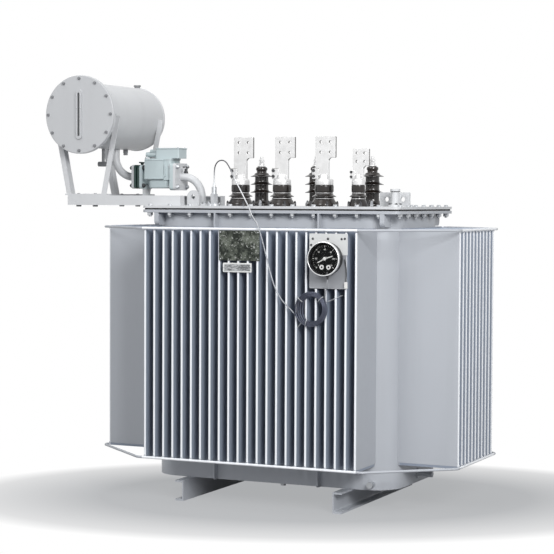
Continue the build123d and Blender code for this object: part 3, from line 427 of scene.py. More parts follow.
def block(centre, size, edge=1.5, turn=0.0):
    """Bar with softened edges: rounded rectangles stacked from the bottom to the top, the first and
    last drawn in by the edge radius, turned about its upright axis."""
    half = np.asarray(size, float) / 2
    angle = np.arange(16) * 2 * math.pi / 16 + math.pi / 16
    corner = np.stack([np.sign(np.cos(angle)) * (half[0] - edge), np.sign(np.sin(angle)) * (half[1] - edge)], 1)
    arc = np.stack([np.cos(angle), np.sin(angle)], 1)
    spin = np.array([[math.cos(turn), math.sin(turn)], [-math.sin(turn), math.cos(turn)]])
    levels = [(0.0, -half[2]), (1.0, -half[2]), (2.0, edge - half[2]),
              (2.0, half[2] - edge), (1.0, half[2]), (0.0, half[2])]
    rings = []
    for grow, height in levels:
        flat = corner * min(grow, 1.0) + arc * edge * max(grow - 1.0, 0.0)
        flat = flat @ spin
        rings.append(np.column_stack([flat, np.full(len(flat), height)]) + centre)
    return skin(rings)


def arrays_of(curve):
    """Points and faces of a curve's surface; the curve is then removed."""
    holder = bpy.data.objects.new("flat", curve)
    mesh = bpy.data.meshes.new_from_object(holder)
    points = np.empty(len(mesh.vertices) * 3)
    mesh.vertices.foreach_get("co", points)
    faces = [tuple(face.vertices) for face in mesh.polygons]
    bpy.data.objects.remove(holder)
    bpy.data.meshes.remove(mesh)
    bpy.data.curves.remove(curve)
    return points.reshape(-1, 3), faces


def plate(outlines, deep, edge, spot, side=(1, 0, 0), up=(0, 0, 1)):
    """Sheet cut to outlines, the first its edge and the rest its holes, with rounded arrises. It
    lies behind the spot, which is on its front face."""
    flat = bpy.data.curves.new("flat", "CURVE")
    flat.dimensions, flat.fill_mode = "2D", "BOTH"
    flat.extrude, flat.bevel_depth, flat.offset = deep / 2 - edge, edge, -edge
    flat.bevel_resolution = 1
    for outline in outlines:
        drawn = flat.splines.new("POLY")
        outline = np.asarray(outline, float)
        drawn.points.add(len(outline) - 1)
        drawn.points.foreach_set("co", (outline @ np.eye(2, 4) + (0.0, 0.0, 0.0, 1.0)).ravel())
        drawn.use_cyclic_u = True
    points, faces = arrays_of(flat)
    side, up = np.asarray(side, float), np.asarray(up, float)
    out = np.cross(side, up)
    placed = np.asarray(spot) + points[:, :1] * side + points[:, 1:2] * up + (points[:, 2:] - deep / 2) * out
    return placed, faces


def rectangle(width, height, radius, middle=(0.0, 0.0), steps=6):
    """Rounded rectangle: a quarter circle round each corner's centre."""
    angle = (np.arange(4)[:, None] * 0.5 + np.linspace(0.0, 0.5, steps)[None]) * math.pi
    centre = np.array([(1, 1), (-1, 1), (-1, -1), (1, -1)]) * (width / 2 - radius, height / 2 - radius)
    arc = radius * np.stack([np.cos(angle), np.sin(angle)], axis=-1)
    return (centre[:, None] + arc).reshape(-1, 2) + middle


def circle(radius, middle=(0.0, 0.0), count=24):
    angle = np.arange(count) * 2 * math.pi / count
    return radius * np.stack([np.cos(angle), np.sin(angle)], axis=1) + middle


def knob(profile, radii, spots, axis=(0, 0, 1), around=24, steps=4):
    """Turned piece with its corners rounded."""
    return turned(rounded(profile, radii, steps), spots, axis, around)


def hexes(spots, axis, across, height, washer=0.0, stud=0.0, stud_out=0.0, phase=0.3):
    """Hexagon nuts, each with its washer and stud end where they are asked for."""
    corner = across / math.sqrt(3.0)
    base = 2.2 if washer else 0.0
    parts = [turned([(0, base), (corner, base), (corner, base + height * 0.84),
                     (corner * 0.88, base + height), (0, base + height)], spots, axis, 6, phase)]
    if washer:
        parts.append(turned([(0, 0), (washer, 0), (washer, base), (0, base)], spots, axis, 16))
    if stud:
        end = base + height + stud_out
        parts.append(turned([(0, 0), (stud, 0), (stud, end - 1.0), (stud - 1.0, end), (0, end)],
                            spots, axis, 12))
    return joined(*parts)


# Rim bolts: zinc-plated hexagon bolts that clamp the cover, its gasket and the rim flange together.
def zinc_skin(at):
    """Zinc plate: cloudy grey crystals, duller and darker in patches."""
    cloud = at.noise(70.0, 4.0, 0.6)
    fine = at.noise(500.0, 2.0)
    return {"Base Color": cloud.blend((0.36, 0.37, 0.39), (0.62, 0.64, 0.66)),
            "Roughness": 0.28 + 0.30 * cloud, "Normal": fine.bump(0.2, 0.0004)}


zinc = finish_of("zinc", zinc_skin, Metallic=0.8)


def add_bolts(name, parts, material=zinc, slot="zinc"):
    """New piece of bolts, nuts or screws, with every edge kept sharp."""
    add_piece(name, *parts, material, slot, smooth=False)


rim_x = -642.0 + 110.6 * np.arange(12)
rim_y = -330.0 + 110.0 * np.arange(7)
rim_low = 1408.0
rim_spots = np.array([(x, side * 369.0, 0.0) for side in (-1, 1) for x in rim_x]
                     + [(side * 664.0, y, 0.0) for side in (-1, 1) for y in rim_y])
rim_bolts = joined(hexes(rim_spots + (0, 0, rim_low), (0, 0, -1), 24.0, 13.0, washer=15.0, stud=7.0, stud_out=6.0),
                   hexes(rim_spots + (0, 0, cover_z), (0, 0, 1), 19.0, 7.0, washer=11.5))
add_bolts("rim_bolts", rim_bolts)

gasket = finish_of("gasket", lambda at: {
    "Base Color": at.noise(40.0, 3.0).blend((0.012, 0.012, 0.013), (0.035, 0.035, 0.036)),
    "Normal": at.noise(300.0).bump(0.3, 0.0005)}, Roughness=0.75)
repaint(["cover_gasket"], gasket)

# Fin seams and rod tacks: each fold of the fins is welded shut at its two ends, and the round tie
# rods are tacked to every fin tip with one short run of weld, all under the same enamel.
fin_x, fin_y = 50.0 * (np.arange(23) - 11), 50.0 * (np.arange(11) - 5)
front_tip, end_tip = 590.0, 940.0
tack = [(0, -1.0), (4.6, 0.6), (3.4, 3.2), (0, 4.4)]
tacks = []
for level in (228.5, 1326.5):
    for side in (-1, 1):
        tacks.append(turned(tack, [(x, side * front_tip, level) for x in fin_x], (0, side, 0), 8))
        tacks.append(turned(tack, [(side * end_tip, y, level) for y in fin_y], (side, 0, 0), 8))
add_piece("rod_tacks", *joined(*tacks), tank_paint, "tank_paint")

corner_r = 150.0
collar = rectangle(1290.0, 2 * wall_y, corner_r, steps=20)
collar = np.concatenate([straight(a, b, 3.0)[:-1] for a, b in zip(collar, np.roll(collar, -1, 0))])
rim_weld = np.column_stack([collar, np.full(len(collar), rim_low)])
add_piece("rim_weld", *tube(rim_weld, 4.0, (0, 0, 1), 8, closed=True, ripple=0.10, step=9.0),
          tank_paint, "tank_paint")
bar_welds = []
for x in (-275.0, 275.0):
    for side in (-1, 1):
        for edge in (-4.0, 4.0):
            bar_welds.append(tube(straight((x + edge, side * wall_y, 104.0), (x + edge, side * wall_y, 212.0)),
                                  2.6, (0, side, 0), 8, ripple=0.14, step=6.0))
for side_x in (-1, 1):
    for side in (-1, 1):
        for edge in (-12.0, 12.0):
            x = 598.0 + edge
            y = wall_y - corner_r + math.sqrt(corner_r ** 2 - (x - 645.0 + corner_r) ** 2)
            bar_welds.append(tube(straight((side_x * x, side * y, 1350.0), (side_x * x, side * y, 1406.0)),
                                  3.0, (0, side, 0), 8, ripple=0.14, step=6.0))
add_piece("wall_welds", *joined(*bar_welds), tank_paint, "tank_paint")

channel_welds = [tube(straight((x, -346.0, 100.0), (x, 346.0, 100.0), 3.5), 3.2, (0, 0, 1), 6, ripple=0.12, step=10.0)
                 for x in (-395.0, -440.0, 395.0, 440.0)]
add_piece("channel_welds", *joined(*channel_welds), tank_paint, "tank_paint")


# Conservator: rolled steel drum on two beams, with a bolted front cover and a pressed rear end,
# sprayed in a lighter neutral grey than the tank.
drum_paint = finish_of("drum_paint", enamel((0.590, 0.600, 0.615), (0.48, 0.49, 0.505)), Coat_Weight=0.10)
# Painted shade: a dark copy of the enamel, standing for the shade on the filler, drain and breather pipe and on the
# cover and beam bolts.
painted_shade_enamel = finish_of("painted_shade_enamel", enamel((0.200, 0.205, 0.215), (0.15, 0.155, 0.16)), Coat_Weight=0.10)
repaint(["conservator_filler", "conservator_drain", "breather_pipe"], painted_shade_enamel)
# Painted shade: the front cover and the oil gauge get a copy of the drum's enamel about 17 % darker.
shaded_cover_enamel = finish_of("shaded_cover_enamel", enamel((0.490, 0.500, 0.515), (0.41, 0.42, 0.43)), Coat_Weight=0.10)
repaint(["conservator_front_cover", "oil_gauge"], shaded_cover_enamel)
repaint(["conservator_shell", "conservator_rear_end", "conservator_legs", "cover_plate", "lifting_lug_left",
         "lifting_lug_right", "relief_stub", "foot_plates", "support_beam_front", "support_beam_rear",
         "beam_cross_bar", "relay_support", "pipe_conservator", "pipe_tank"], drum_paint)
drum_x, drum_z = -1080.0, 1902.0
hours = np.arange(12) * math.pi / 6
heads = np.column_stack([drum_x + 183.0 * np.sin(hours), np.full(12, -320.0), drum_z + 183.0 * np.cos(hours)])
cover_bolts = joined(hexes(heads, (0, -1, 0), 13.0, 6.0, washer=8.0),
                     hexes(heads + (0, 24.0, 0), (0, 1, 0), 21.0, 12.0, washer=13.0, stud=6.0, stud_out=7.0))
# The cover bolts' dark enamel is painted shade.
add_bolts("conservator_bolts", cover_bolts, painted_shade_enamel, "drum_paint")
drum_welds = joined(
    tube(ring_path((drum_x, -295.5, drum_z), 167.5, (0, 1, 0), 200), 3.6, (0, 1, 0), 8, True, 0.10, 9.0),
    tube(ring_path((drum_x, 276.0, drum_z), 167.0, (0, 1, 0), 200), 2.4, (0, 1, 0), 8, True, 0.12, 7.0),
    *(tube(ring_path((drum_x, y, drum_z + z), radius, (0, 0, 1), 24), 2.2, (0, 0, 1), 6, True)
      for y, z, radius in ((-77.0, -166.5, 8.5), (158.0, -166.0, 13.5), (285.0, 166.6, 15.5))))
add_piece("conservator_welds", *drum_welds, drum_paint, "drum_paint")

# Oil gauge: a steel frame bolted to the front cover, with a thick glass over a dark channel.
sight = finish_of("gauge_glass", lambda at: {
    "Base Color": at.noise(30.0, 3.0).blend((0.020, 0.022, 0.026), (0.060, 0.062, 0.068))},
    Roughness=0.12, Coat_Weight=0.5)
add_piece("gauge_sight", *plate([rectangle(10.5, 220.0, 5.2, steps=8)], 3.0, 0.6, (drum_x, -326.5, drum_z)),
          sight, "gauge_glass")
gauge_screws = [(drum_x + a, -328.0, drum_z + b) for a in (-11.5, 11.5) for b in (-96.0, -32.0, 32.0, 96.0)]
add_piece("gauge_screws", *knob([(0, 0), (3.6, 0), (3.6, 2.0), (0, 3.0)], 1.2, gauge_screws, (0, -1, 0), 12),
          zinc, "zinc")

# Beams and legs: nuts hold the foot plates to the beams, and the beams to the cover.
beam_y = 230.0
foot_spots = np.array([(drum_x + x, y, 1500.0) for y in (6.0 - beam_y, beam_y - 6.0) for x in (-60.0, 38.0)])
beam_spots = [(x, y, cover_z + 5.0) for y in (6.0 - beam_y, beam_y - 6.0) for x in (-612.0, -560.0)]
beam_bolts = joined(turned([(0, 0), (9.0, 0), (7.0, 2.6), (0, 3.4)], foot_spots, (0, 0, 1), 16),
                    hexes(foot_spots - (0, 0, 58.0), (0, 0, -1), 24.0, 6.0, washer=14.0),
                    hexes(beam_spots, (0, 0, 1), 18.0, 9.0, washer=11.0, stud=5.5, stud_out=4.0))
# The beam nuts' dark enamel is painted shade.
add_bolts("beam_bolts", beam_bolts, painted_shade_enamel)
beam_ends = [block((-536.6, y, cover_z + 25.0), (3.4, 45.6, 49.6), 0.6) for y in (-beam_y, beam_y)]
add_piece("beam_ends", *joined(*beam_ends), drum_paint, "drum_paint")

# Pipework: seam-welded pipe with flat flanges, and the disc valve between them in dark green.
pipe_y, pipe_z = 55.0, 1590.0
valve_paint = finish_of("valve_paint", enamel((0.022, 0.052, 0.045), (0.060, 0.075, 0.070), 0.15, 0.2),
                        Coat_Weight=0.2)
repaint(["shutoff_valve"], valve_paint)


def flange_bolts(x, half, axis, height=10.0):
    """Four nuts at the corners of a square flange on the pipe's axis."""
    spots = [(x, pipe_y + a, pipe_z + b) for a in (-half, half) for b in (-half, half)]
    return hexes(spots, axis, 19.0, height, washer=12.0, stud=5.5, stud_out=4.0)


valve_left, valve_right, relay_end, pipe_end = -952.0, -891.0, -723.0, -689.0
small, large = 46.0, 52.0
valve_bolts = joined(flange_bolts(valve_left, small, (-1, 0, 0)), flange_bolts(valve_right, small, (1, 0, 0), 8.0))
pipe_bolts = joined(flange_bolts(relay_end, large, (-1, 0, 0), 8.0), flange_bolts(pipe_end, large, (1, 0, 0)))
dark_steel = finish_of("dark_steel", lambda at: {
    "Base Color": at.noise(60.0, 3.0).blend((0.020, 0.022, 0.024), (0.09, 0.09, 0.095)),
    "Normal": at.noise(400.0).bump(0.2, 0.0004)}, Roughness=0.42, Metallic=0.6)
add_bolts("valve_bolts", valve_bolts, dark_steel)
add_bolts("pipe_bolts", pipe_bolts)
handle = joined(block((-921.5, pipe_y, 1665.0), (10.0, 58.0, 7.0), 2.0),
                knob([(0, 0), (9, 0), (9, 12), (0, 12)], 2.0, (-921.5, pipe_y, 1655.0), around=16))
add_piece("valve_handle", *handle, valve_paint, "valve_paint")

# Gas relay: cast aluminium body in pale green-grey, with a hinged flap over its window, a bolted
# lid, a terminal box with two cable glands, and a test cock on the pipe beside it.
relay_paint = finish_of("relay_paint", enamel((0.470, 0.545, 0.562), (0.36, 0.42, 0.43), 0.05, 0.35),
                        Coat_Weight=0.15)
repaint(["relay_body", "relay_terminal_box"], relay_paint)
body_left, body_front, body_top, box_top = -877.0, -1.0, 1685.0, 1739.0
flap_left, flap_right, flap_low, flap_high = body_left + 2.0, body_left + 114.0, 1580.0, 1677.0
flap_wide, flap_tall = flap_right - flap_left, flap_high - flap_low
flap = plate([rectangle(flap_wide, flap_tall, 6.0)], 3.0, 0.8,
             (flap_left + flap_wide / 2, body_front - 5.5, flap_low + flap_tall / 2))
lip = tube(straight((flap_left, body_front - 6.5, flap_low), (flap_right, body_front - 6.5, flap_low), 8.0),
           2.6, (0, 0, 1), 10)
hinge = tube(straight((flap_left + 2.0, body_front - 5.0, flap_high),
                      (flap_right - 2.0, body_front - 5.0, flap_high), 8.0), 3.2, (0, 0, 1), 10)
add_piece("relay_flap", *joined(flap, lip, hinge), relay_paint, "relay_paint")
lid_spots = [(body_left + 8.0, pipe_y + b, body_top) for b in (-48.0, 48.0, 0.0)]
box_spots = [(x, pipe_y + b, box_top) for x in (-810.0, -690.0) for b in (-37.0, 37.0)]
relay_screws = joined(hexes(lid_spots, (0, 0, 1), 13.0, 6.0, washer=8.0),
                      knob([(0, 0), (5, 0), (5, 2.6), (0, 4.0)], 1.5, box_spots, around=12))
add_bolts("relay_screws", relay_screws)
box_seam = plate([rectangle(141.0, 95.0, 8.0), rectangle(136.0, 90.0, 8.0)[::-1]], 1.6, 0.3,
                 (-750.0, pipe_y, box_top - 4.6), (1, 0, 0), (0, 1, 0))
lid_seam = plate([rectangle(157.0, 115.0, 14.0), rectangle(150.0, 108.0, 14.0)[::-1]], 1.8, 0.3,
                 (-800.0, pipe_y, body_top - 7.1), (1, 0, 0), (0, 1, 0))
add_piece("relay_gaskets", *joined(box_seam, lid_seam), gasket, "gasket")
cock = joined(knob([(0, 0), (11, 0), (11, 9), (7, 12), (7, 26), (0, 26)], 2.0, (-663.0, pipe_y, 1608.0), around=20),
              block((-663.0, pipe_y, 1640.0), (34.0, 9.0, 8.0), 2.0, 0.4))
add_piece("test_cock", *cock, dark_steel, "zinc")


def four_round(x, y, radius, phase):
    """Four places round an upright axis, on a flange 10 mm thick that lies on the cover."""
    angle = np.arange(4) * math.pi / 2 + phase
    return np.column_stack([x + radius * np.cos(angle), y + radius * np.sin(angle), np.full(4, cover_z + 10.0)])


add_bolts("foot_bolts", hexes(four_round(-570.0, pipe_y, 33.0, 0.8), (0, 0, 1), 14.0, 6.0, washer=8.5, stud=4.0,
                              stud_out=3.0))


# High-voltage bushings: one turned and fired porcelain each, glazed very dark brown, with three
# thin drooping sheds and a mushroom cap. Three clamps hold its foot down on the cover.
def glaze(at):
    """Thick glaze: nearly black, browner where it thins, with slow waves in its gloss."""
    thin = at.noise(18.0, 3.0)
    wave = at.noise(60.0, 2.0)
    return {"Base Color": thin.between(0.35, 0.75).blend((0.006, 0.005, 0.005), (0.020, 0.014, 0.011)),
            "Roughness": 0.13 + 0.10 * wave, "Normal": wave.bump(0.10, 0.0010)}


porcelain = finish_of("porcelain", glaze, Coat_Weight=0.15, Coat_Roughness=0.08)
hv_spots = {"a": (-303.0, 212.0, cover_z), "b": (5.0, 212.0, cover_z), "c": (313.0, 212.0, cover_z)}
hv_line = [(0, 0), (49.5, 0), (49.5, 11), (45, 15), (37.5, 24), (35.5, 34)]
hv_round = [1.5, 3.0, 2.0, 6.0, 4.0]
for height in (74.0, 115.0, 156.0):
    hv_line += [(35.0, height - 7), (54.0, height - 7.0), (58.0, height - 6.6), (57.4, height - 4.2),
                (38.5, height + 4.0), (35.2, height + 11)]
    hv_round += [3.0, 2.0, 0.9, 1.2, 5.0, 4.0]
hv_line += [(34.0, 168), (25.8, 171), (25.5, 181), (29.5, 184), (30, 188), (29, 198), (18, 202), (0, 202)]
hv_round += [3.0, 3.0, 4.0, 2.0, 3.0, 6.0, 5.0]
for phase, spot in hv_spots.items():
    add_piece("hv_porcelain_" + phase, *knob(hv_line, hv_round, spot, around=56), porcelain, "porcelain",
              "hv_bushing_" + phase)

terminal_metal = finish_of("terminal_metal", lambda at: {
    "Base Color": at.noise(30.0, 4.0, 0.6).blend((0.56, 0.56, 0.56), (0.80, 0.80, 0.80)),
    "Roughness": 0.24 + 0.22 * at.noise(45.0, 3.0),
    "Normal": at.noise(260.0, 2.0, stretch=(1.0, 1.0, 0.12)).bump(0.12, 0.0004)}, Metallic=0.6)
repaint(["hv_terminals"], terminal_metal)
hv_tops = np.array(list(hv_spots.values())) + (0, 0, 202.0)
hv_nuts = joined(knob([(0, 0), (22, 0), (22, 3), (17, 4), (17, 6), (0, 6)], 0.8, hv_tops, around=32),
                 hexes(hv_tops + (0, 0, 11.0), (0, 0, 1), 25.0, 10.0, washer=16.0),
                 hexes(hv_tops + (0, 0, 27.0), (0, 0, 1), 25.0, 8.0, washer=16.0))
add_bolts("hv_nuts", hv_nuts, terminal_metal, "terminal_metal")


def foot_clamps(spots, angles, far, cap, leg, leg_out, edge):
    """Clamps round the foot of each bushing, given as X, Y and scale. A clamp is a bar on the foot's
    rim, far from its axis, and a leg outside it that stands on the cover; its nut sits 17 mm up."""
    parts, nuts = [], []
    for x, y, size in spots:
        for angle in angles:
            out = np.array([math.cos(angle), math.sin(angle), 0.0])
            rim = (x, y, cover_z) + far * size * out
            parts.append(block(rim + (0, 0, 17.0 - cap[2] / 2), cap, edge, angle))
            parts.append(block(rim + leg_out * out + (0, 0, leg[2] / 2), leg, edge, angle))
            nuts.append(rim + out + (0, 0, 17.0))
    return joined(*parts), nuts


clamps, nuts = foot_clamps([(x, y, 1.0) for x, y, _ in hv_spots.values()], (-1.25, 0.85, 2.95), 53.0,
                           (20.0, 15.0, 5.0), (6.0, 15.0, 12.0), 7.0, 1.5)
add_piece("hv_clamps", *clamps, zinc, "zinc")
add_bolts("hv_clamp_nuts", hexes(nuts, (0, 0, 1), 12.0, 6.0, washer=7.5, stud=3.5, stud_out=4.0))

# Low-voltage bushings: short porcelains with a flared foot, one pointed shed and a straight head. Four clamps hold
# each foot, and two bright rings sit on it: the upper in its groove, and the lower, a painted reflection, on the
# flare. The neutral is narrower.
lv_spots = {"a": (-225.0, -200.0, 1.0), "b": (0.0, -200.0, 1.0), "c": (225.0, -200.0, 1.0),
            "n": (403.0, -200.0, 0.72)}
lv_line = np.array([(0, 0), (63, 0), (64, 4), (63, 12), (52, 30), (46, 40), (45.5, 44.5), (58, 46), (60, 48),
                    (46, 56), (41.5, 62), (41.5, 68), (46, 71), (46, 100), (44, 104), (0, 104)], float)
lv_round = [2.0, 3.0, 4.0, 8.0, 4.0, 3.0, 1.5, 1.5, 4.0, 3.0, 2.0, 3.0, 3.0, 2.0]
lv_ring_and_painted_reflection = []
for phase, (x, y, size) in lv_spots.items():
    add_piece("lv_porcelain_" + phase, *knob(lv_line * (size, 1.0), lv_round, (x, y, cover_z), around=56),
              porcelain, "porcelain", "lv_bushing_" + phase)
    # The ring at 63 mm sits in the groove; the one at 36 mm, on the flare, is a painted reflection.
    for low, inner, outer in ((63.0, 40.0, 44.5), (36.0, 44.0, 50.5)):
        ring = [(inner, low), (outer, low), (outer, low + 3.0), (inner, low + 3.0), (inner, low)]
        lv_ring_and_painted_reflection.append(knob(np.array(ring) * (size, 1.0), 0.8, (x, y, cover_z), around=56, steps=2))
clamps, nuts = foot_clamps(lv_spots.values(), (-0.95, 0.62, 2.19, 3.76), 64.0, (13.0, 11.0, 4.0),
                           (4.5, 11.0, 13.0), 4.0, 1.2)
add_piece("lv_clamps", *clamps, dark_steel, "zinc")
add_bolts("lv_clamp_nuts", hexes(nuts, (0, 0, 1), 9.0, 4.5, washer=5.5, stud=2.5, stud_out=2.5), dark_steel)
add_piece("lv_ring_and_painted_reflection", *joined(*lv_ring_and_painted_reflection), terminal_metal, "terminal_metal")

# Connection palms: cast and tinned copper. A split collar grips the stud above each low-voltage
# porcelain, and a flat plate with four holes stands on it for the busbar.
palm_parts, palm_bolts = [], []
for phase, (x, y, scale) in lv_spots.items():
    size, top = (0.8, cover_z + 277.0) if phase == "n" else (1.0, cover_z + 338.0)
    foot = cover_z + 104.0
    left, wide, tall, stem = x - 35.0 * size, 106.0 * size, 102.0 * size, 70.0 * size
    left -= 10.0 if phase == "c" else 0.0
    low = foot + 24.0 - top
    edge = rounded([(stem, low), (stem, -tall - 10), (stem + 10, -tall), (wide, -tall), (wide, 0), (0, 0), (0, low),
                    (stem, low)], [3.0, 4.0, 4.0, 4.0, 4.0, 0.5], 5)[:-1]
    holes = [circle(7.0, (wide / 2 + a * size, -tall / 2 + b * size))[::-1]
             for a in (-25.0, 25.0) for b in (-25.0, 25.0)]
    palm_parts.append(plate([edge] + holes, 14.0, 1.2, (left, y - 7.0, top)))
    collar = 44.5 * scale
    palm_parts.append(knob([(0, 0), (collar, 0), (collar, 20), (collar - 3, 28), (0, 28)], [1.5, 4.0, 3.0],
                           (x, y, foot), around=56, steps=5))
    palm_parts.append(knob([(0, 0), (collar * 0.62, 0), (collar * 0.56, 24), (0, 26)], [2.0, 5.0],
                           (x, y, foot + 26.0), around=40, steps=5))
    for side in (-1, 1):
        palm_parts.append(block((left + 3.0 * size, y + side * 9.5 * size, foot + 28.0 + 27.0 * size),
                                (34.0 * size, 11.0 * size, 54.0 * size), 2.5))
    for rise, side in ((14.0, -1), (14.0, 1), (42.0, -1), (42.0, 1)):
        spot = (left - 6.0 * size, y + side * 15.0 * size, foot + 28.0 + rise * size)
        palm_bolts.append(hexes(spot, (0, side, 0), 13.0 * size, 5.0, washer=8.0 * size))
palms = add_piece("connection_palms", *joined(*palm_parts), terminal_metal, "terminal_metal", "lv_palms")
# Painted shade: the small side faces high on the palms, their plate edges and hole walls, get a dark grey finish.
painted_shade_edge = finish_of("painted_shade_edge", lambda at: {
    "Base Color": at.noise(50.0, 3.0).blend((0.10, 0.10, 0.10), (0.26, 0.25, 0.24)),
    "Roughness": 0.45 + 0.2 * at.noise(90.0)}, Metallic=0.5)
palms.data.materials.append(painted_shade_edge)
# Those faces take the painted shade finish.
for face in palms.data.polygons:
    if abs(face.normal.y) < 0.8 and face.center.z > 1.62 and face.area < 0.0030:
        face.material_index = 1
add_bolts("palm_bolts", joined(*palm_bolts), dark_steel)

# Thermometer pocket: a hexagon body screwed into the cover, with the capillary's gland on top.
repaint(["thermometer_pocket"], zinc)
pocket_x, pocket_y = -322.0, -300.0
gland = joined(knob([(0, 0), (13.5, 0), (13.5, 5), (10.0, 7), (10.0, 18), (6.0, 24), (0, 24)], 1.5,
                    (pocket_x, pocket_y, 1500.0), around=28),
               knob([(0, 0), (8.0, 0), (7.0, 8), (3.8, 24), (0, 24)], 3.0, (pocket_x, pocket_y, 1532.0), around=20))
add_piece("pocket_gland", *gland, zinc, "zinc")
add_bolts("pocket_screws", hexes(four_round(pocket_x, pocket_y, 24.0, 0.5), (0, 0, 1), 9.0, 5.0))

# Dial thermometer: a black pressed can with a bright rolled bezel and a glass, on a folded bracket
# of two sheets screwed to the fin tips. The scale is white on black, with two resetting pointers.
dial_x, dial_z, dial_back = 413.0, 1203.0, -594.0
light_sheet = finish_of("light_sheet", enamel((0.590, 0.602, 0.600), (0.45, 0.47, 0.46)), Coat_Weight=0.05)
grey_sheet = finish_of("grey_sheet", enamel((0.270, 0.280, 0.300), (0.22, 0.23, 0.245)), Coat_Weight=0.05)
upper = plate([rectangle(192.0, 99.0, 3.0)], 2.0, 0.5, (dial_x + 2.0, dial_back, 1268.5))
add_piece("bracket_upper", *upper, light_sheet, "drum_paint", "dial_bracket")
fold = straight((dial_x - 92.0, dial_back + 1.6, 1065.5), (dial_x + 89.0, dial_back + 1.6, 1065.5), 10.0)
lower = joined(plate([rectangle(185.0, 240.0, 3.0)], 2.0, 0.5, (dial_x - 1.5, dial_back + 2.0, 1183.0)),
               tube(fold, 2.6, (0, 0, 1), 8))
add_piece("bracket_lower", *lower, grey_sheet, "drum_paint")
bracket_screws = [(dial_x + a, dial_back, dial_z + b)
                  for a, b in ((-76.0, 91.0), (0.0, 91.0), (68.0, 91.0), (84.0, 92.0), (-84.0, 62.0))]
add_piece("bracket_screws", *knob([(0, 0), (5.5, 0), (5.5, 2.2), (0, 3.6)], 1.5, bracket_screws, (0, -1, 0), 14),
          dark_steel, "zinc")
dial_housing = finish_of("dial_housing", lambda at: {
    "Base Color": at.noise(80.0, 3.0).blend((0.012, 0.013, 0.014), (0.040, 0.041, 0.043)),
    "Normal": at.noise(300.0).bump(0.25, 0.0004)}, Roughness=0.45)
case = knob([(0, 0), (74, 0), (75, 3), (75, 44), (79.5, 47), (79.5, 57), (75.5, 57), (75, 50), (74, 36), (0, 36)],
            [2, 2, 3, 2, 2, 1, 1, 1], (dial_x, dial_back, dial_z), (0, -1, 0), 72, 3)
boss = knob([(0, -12), (9, -12), (9, 8), (5.5, 12), (4.0, 24), (0, 24)], 1.5, (424.0, -624.0, 1131.0), (0, 0, -1))
add_piece("dial_case", *joined(case, boss), dial_housing, "dial_housing", "dial_thermometer")
rolled = finish_of("bright_bezel", lambda at: {
    "Base Color": at.noise(20.0, 3.0).blend((0.70, 0.71, 0.72), (0.88, 0.88, 0.88)),
    "Roughness": 0.18 + 0.15 * at.noise(40.0, 2.0)}, Metallic=0.6)
bezel = knob([(74.5, 58.0), (75.0, 60.0), (77.5, 60.0), (80.0, 57.5), (80.0, 45.0), (79.0, 44.5), (79.0, 55.5),
              (74.5, 57.0), (74.5, 58.0)], [0.8, 1.5, 3.0, 1.0, 0.4, 1.5, 0.5],
             (dial_x, dial_back, dial_z), (0, -1, 0), 72)
add_piece("dial_bezel", *bezel, rolled, "capillary_metal")
white_mark = finish_of("white_mark", lambda at: {
    "Base Color": at.noise(60.0, 2.0).blend((0.60, 0.60, 0.59), (0.78, 0.78, 0.76))}, Roughness=0.5)
dial_face = finish_of("dial_face", lambda at: {
    "Base Color": at.noise(24.0, 3.0).blend((0.003, 0.003, 0.003), (0.009, 0.010, 0.010))},
    Roughness=0.6, Specular_IOR_Level=0.05)
mark_y = dial_back - 37.8
add_piece("dial_face", *plate([circle(73.5, count=64)], 1.2, 0.2, (dial_x, mark_y + 0.6, dial_z)), dial_face,
          "dial_housing")


def on_dial(turn, near, far, wide):
    """Thin bar on the dial from near to far from its centre, turned clockwise from the top."""
    out = np.array([math.sin(turn), math.cos(turn)])
    beside = np.array([out[1], -out[0]]) * wide / 2
    return np.array([out * near - beside, out * near + beside, out * far + beside, out * far - beside])


marks = []
for number in range(31):
    swing = math.radians(-135.0 + 9.0 * number)
    near, wide = (58.0, 0.8) if number % 5 else (54.0, 2.4)
    marks.append(plate([on_dial(swing, near, 62.0, wide)], 0.5, 0.1, (dial_x, mark_y, dial_z)))
for x in (-15.0, 19.0):
    knob_ring = [circle(11.0, (x, -39.0)), circle(4.5, (x, -39.0))[::-1]]
    marks.append(plate(knob_ring, 3.0, 0.5, (dial_x, mark_y - 2.0, dial_z)))
marks.append(knob([(0, 0), (9, 0), (7.5, 4), (0, 5)], 1.5, (dial_x, mark_y - 2.0, dial_z), (0, -1, 0)))
for number in range(7):
    swing = math.radians(-135.0 + 45.0 * number)
    word = bpy.data.curves.new("figure", "FONT")
    word.body, word.size, word.align_x, word.align_y = str(number * 20), 10.0, "CENTER", "CENTER"
    word.extrude, word.resolution_u = 0.2, 3
    flat, faces = arrays_of(word)
    marks.append((np.column_stack([dial_x + 43.0 * math.sin(swing) + flat[:, 0], mark_y - flat[:, 2],
                                   dial_z + 43.0 * math.cos(swing) + flat[:, 1]]), faces))
add_piece("dial_marks", *joined(*marks), white_mark, "label_metal", smooth=False)
hand_line = np.array([(-3.2, -14.0), (3.2, -14.0), (2.0, 38.0), (0.0, 44.0), (-2.0, 38.0)])
hands = []
for swing in (math.radians(-118.0), math.radians(72.0)):
    spin = np.array([[math.cos(swing), -math.sin(swing)], [math.sin(swing), math.cos(swing)]])
    hands.append(plate([hand_line @ spin], 0.8, 0.15, (dial_x, mark_y - 2.2, dial_z)))
add_piece("dial_hands", *joined(*hands), white_mark, "label_metal", smooth=False)
glass = finish_of("dial_glass", lambda at: {
    "Roughness": 0.03 + 0.03 * at.noise(10.0)}, colour=(0.02, 0.02, 0.02), Alpha=0.03)
add_piece("dial_glass", *plate([circle(74.8, count=64)], 2.0, 0.4, (dial_x, dial_back - 52.0, dial_z)), glass,
          "gauge_glass")

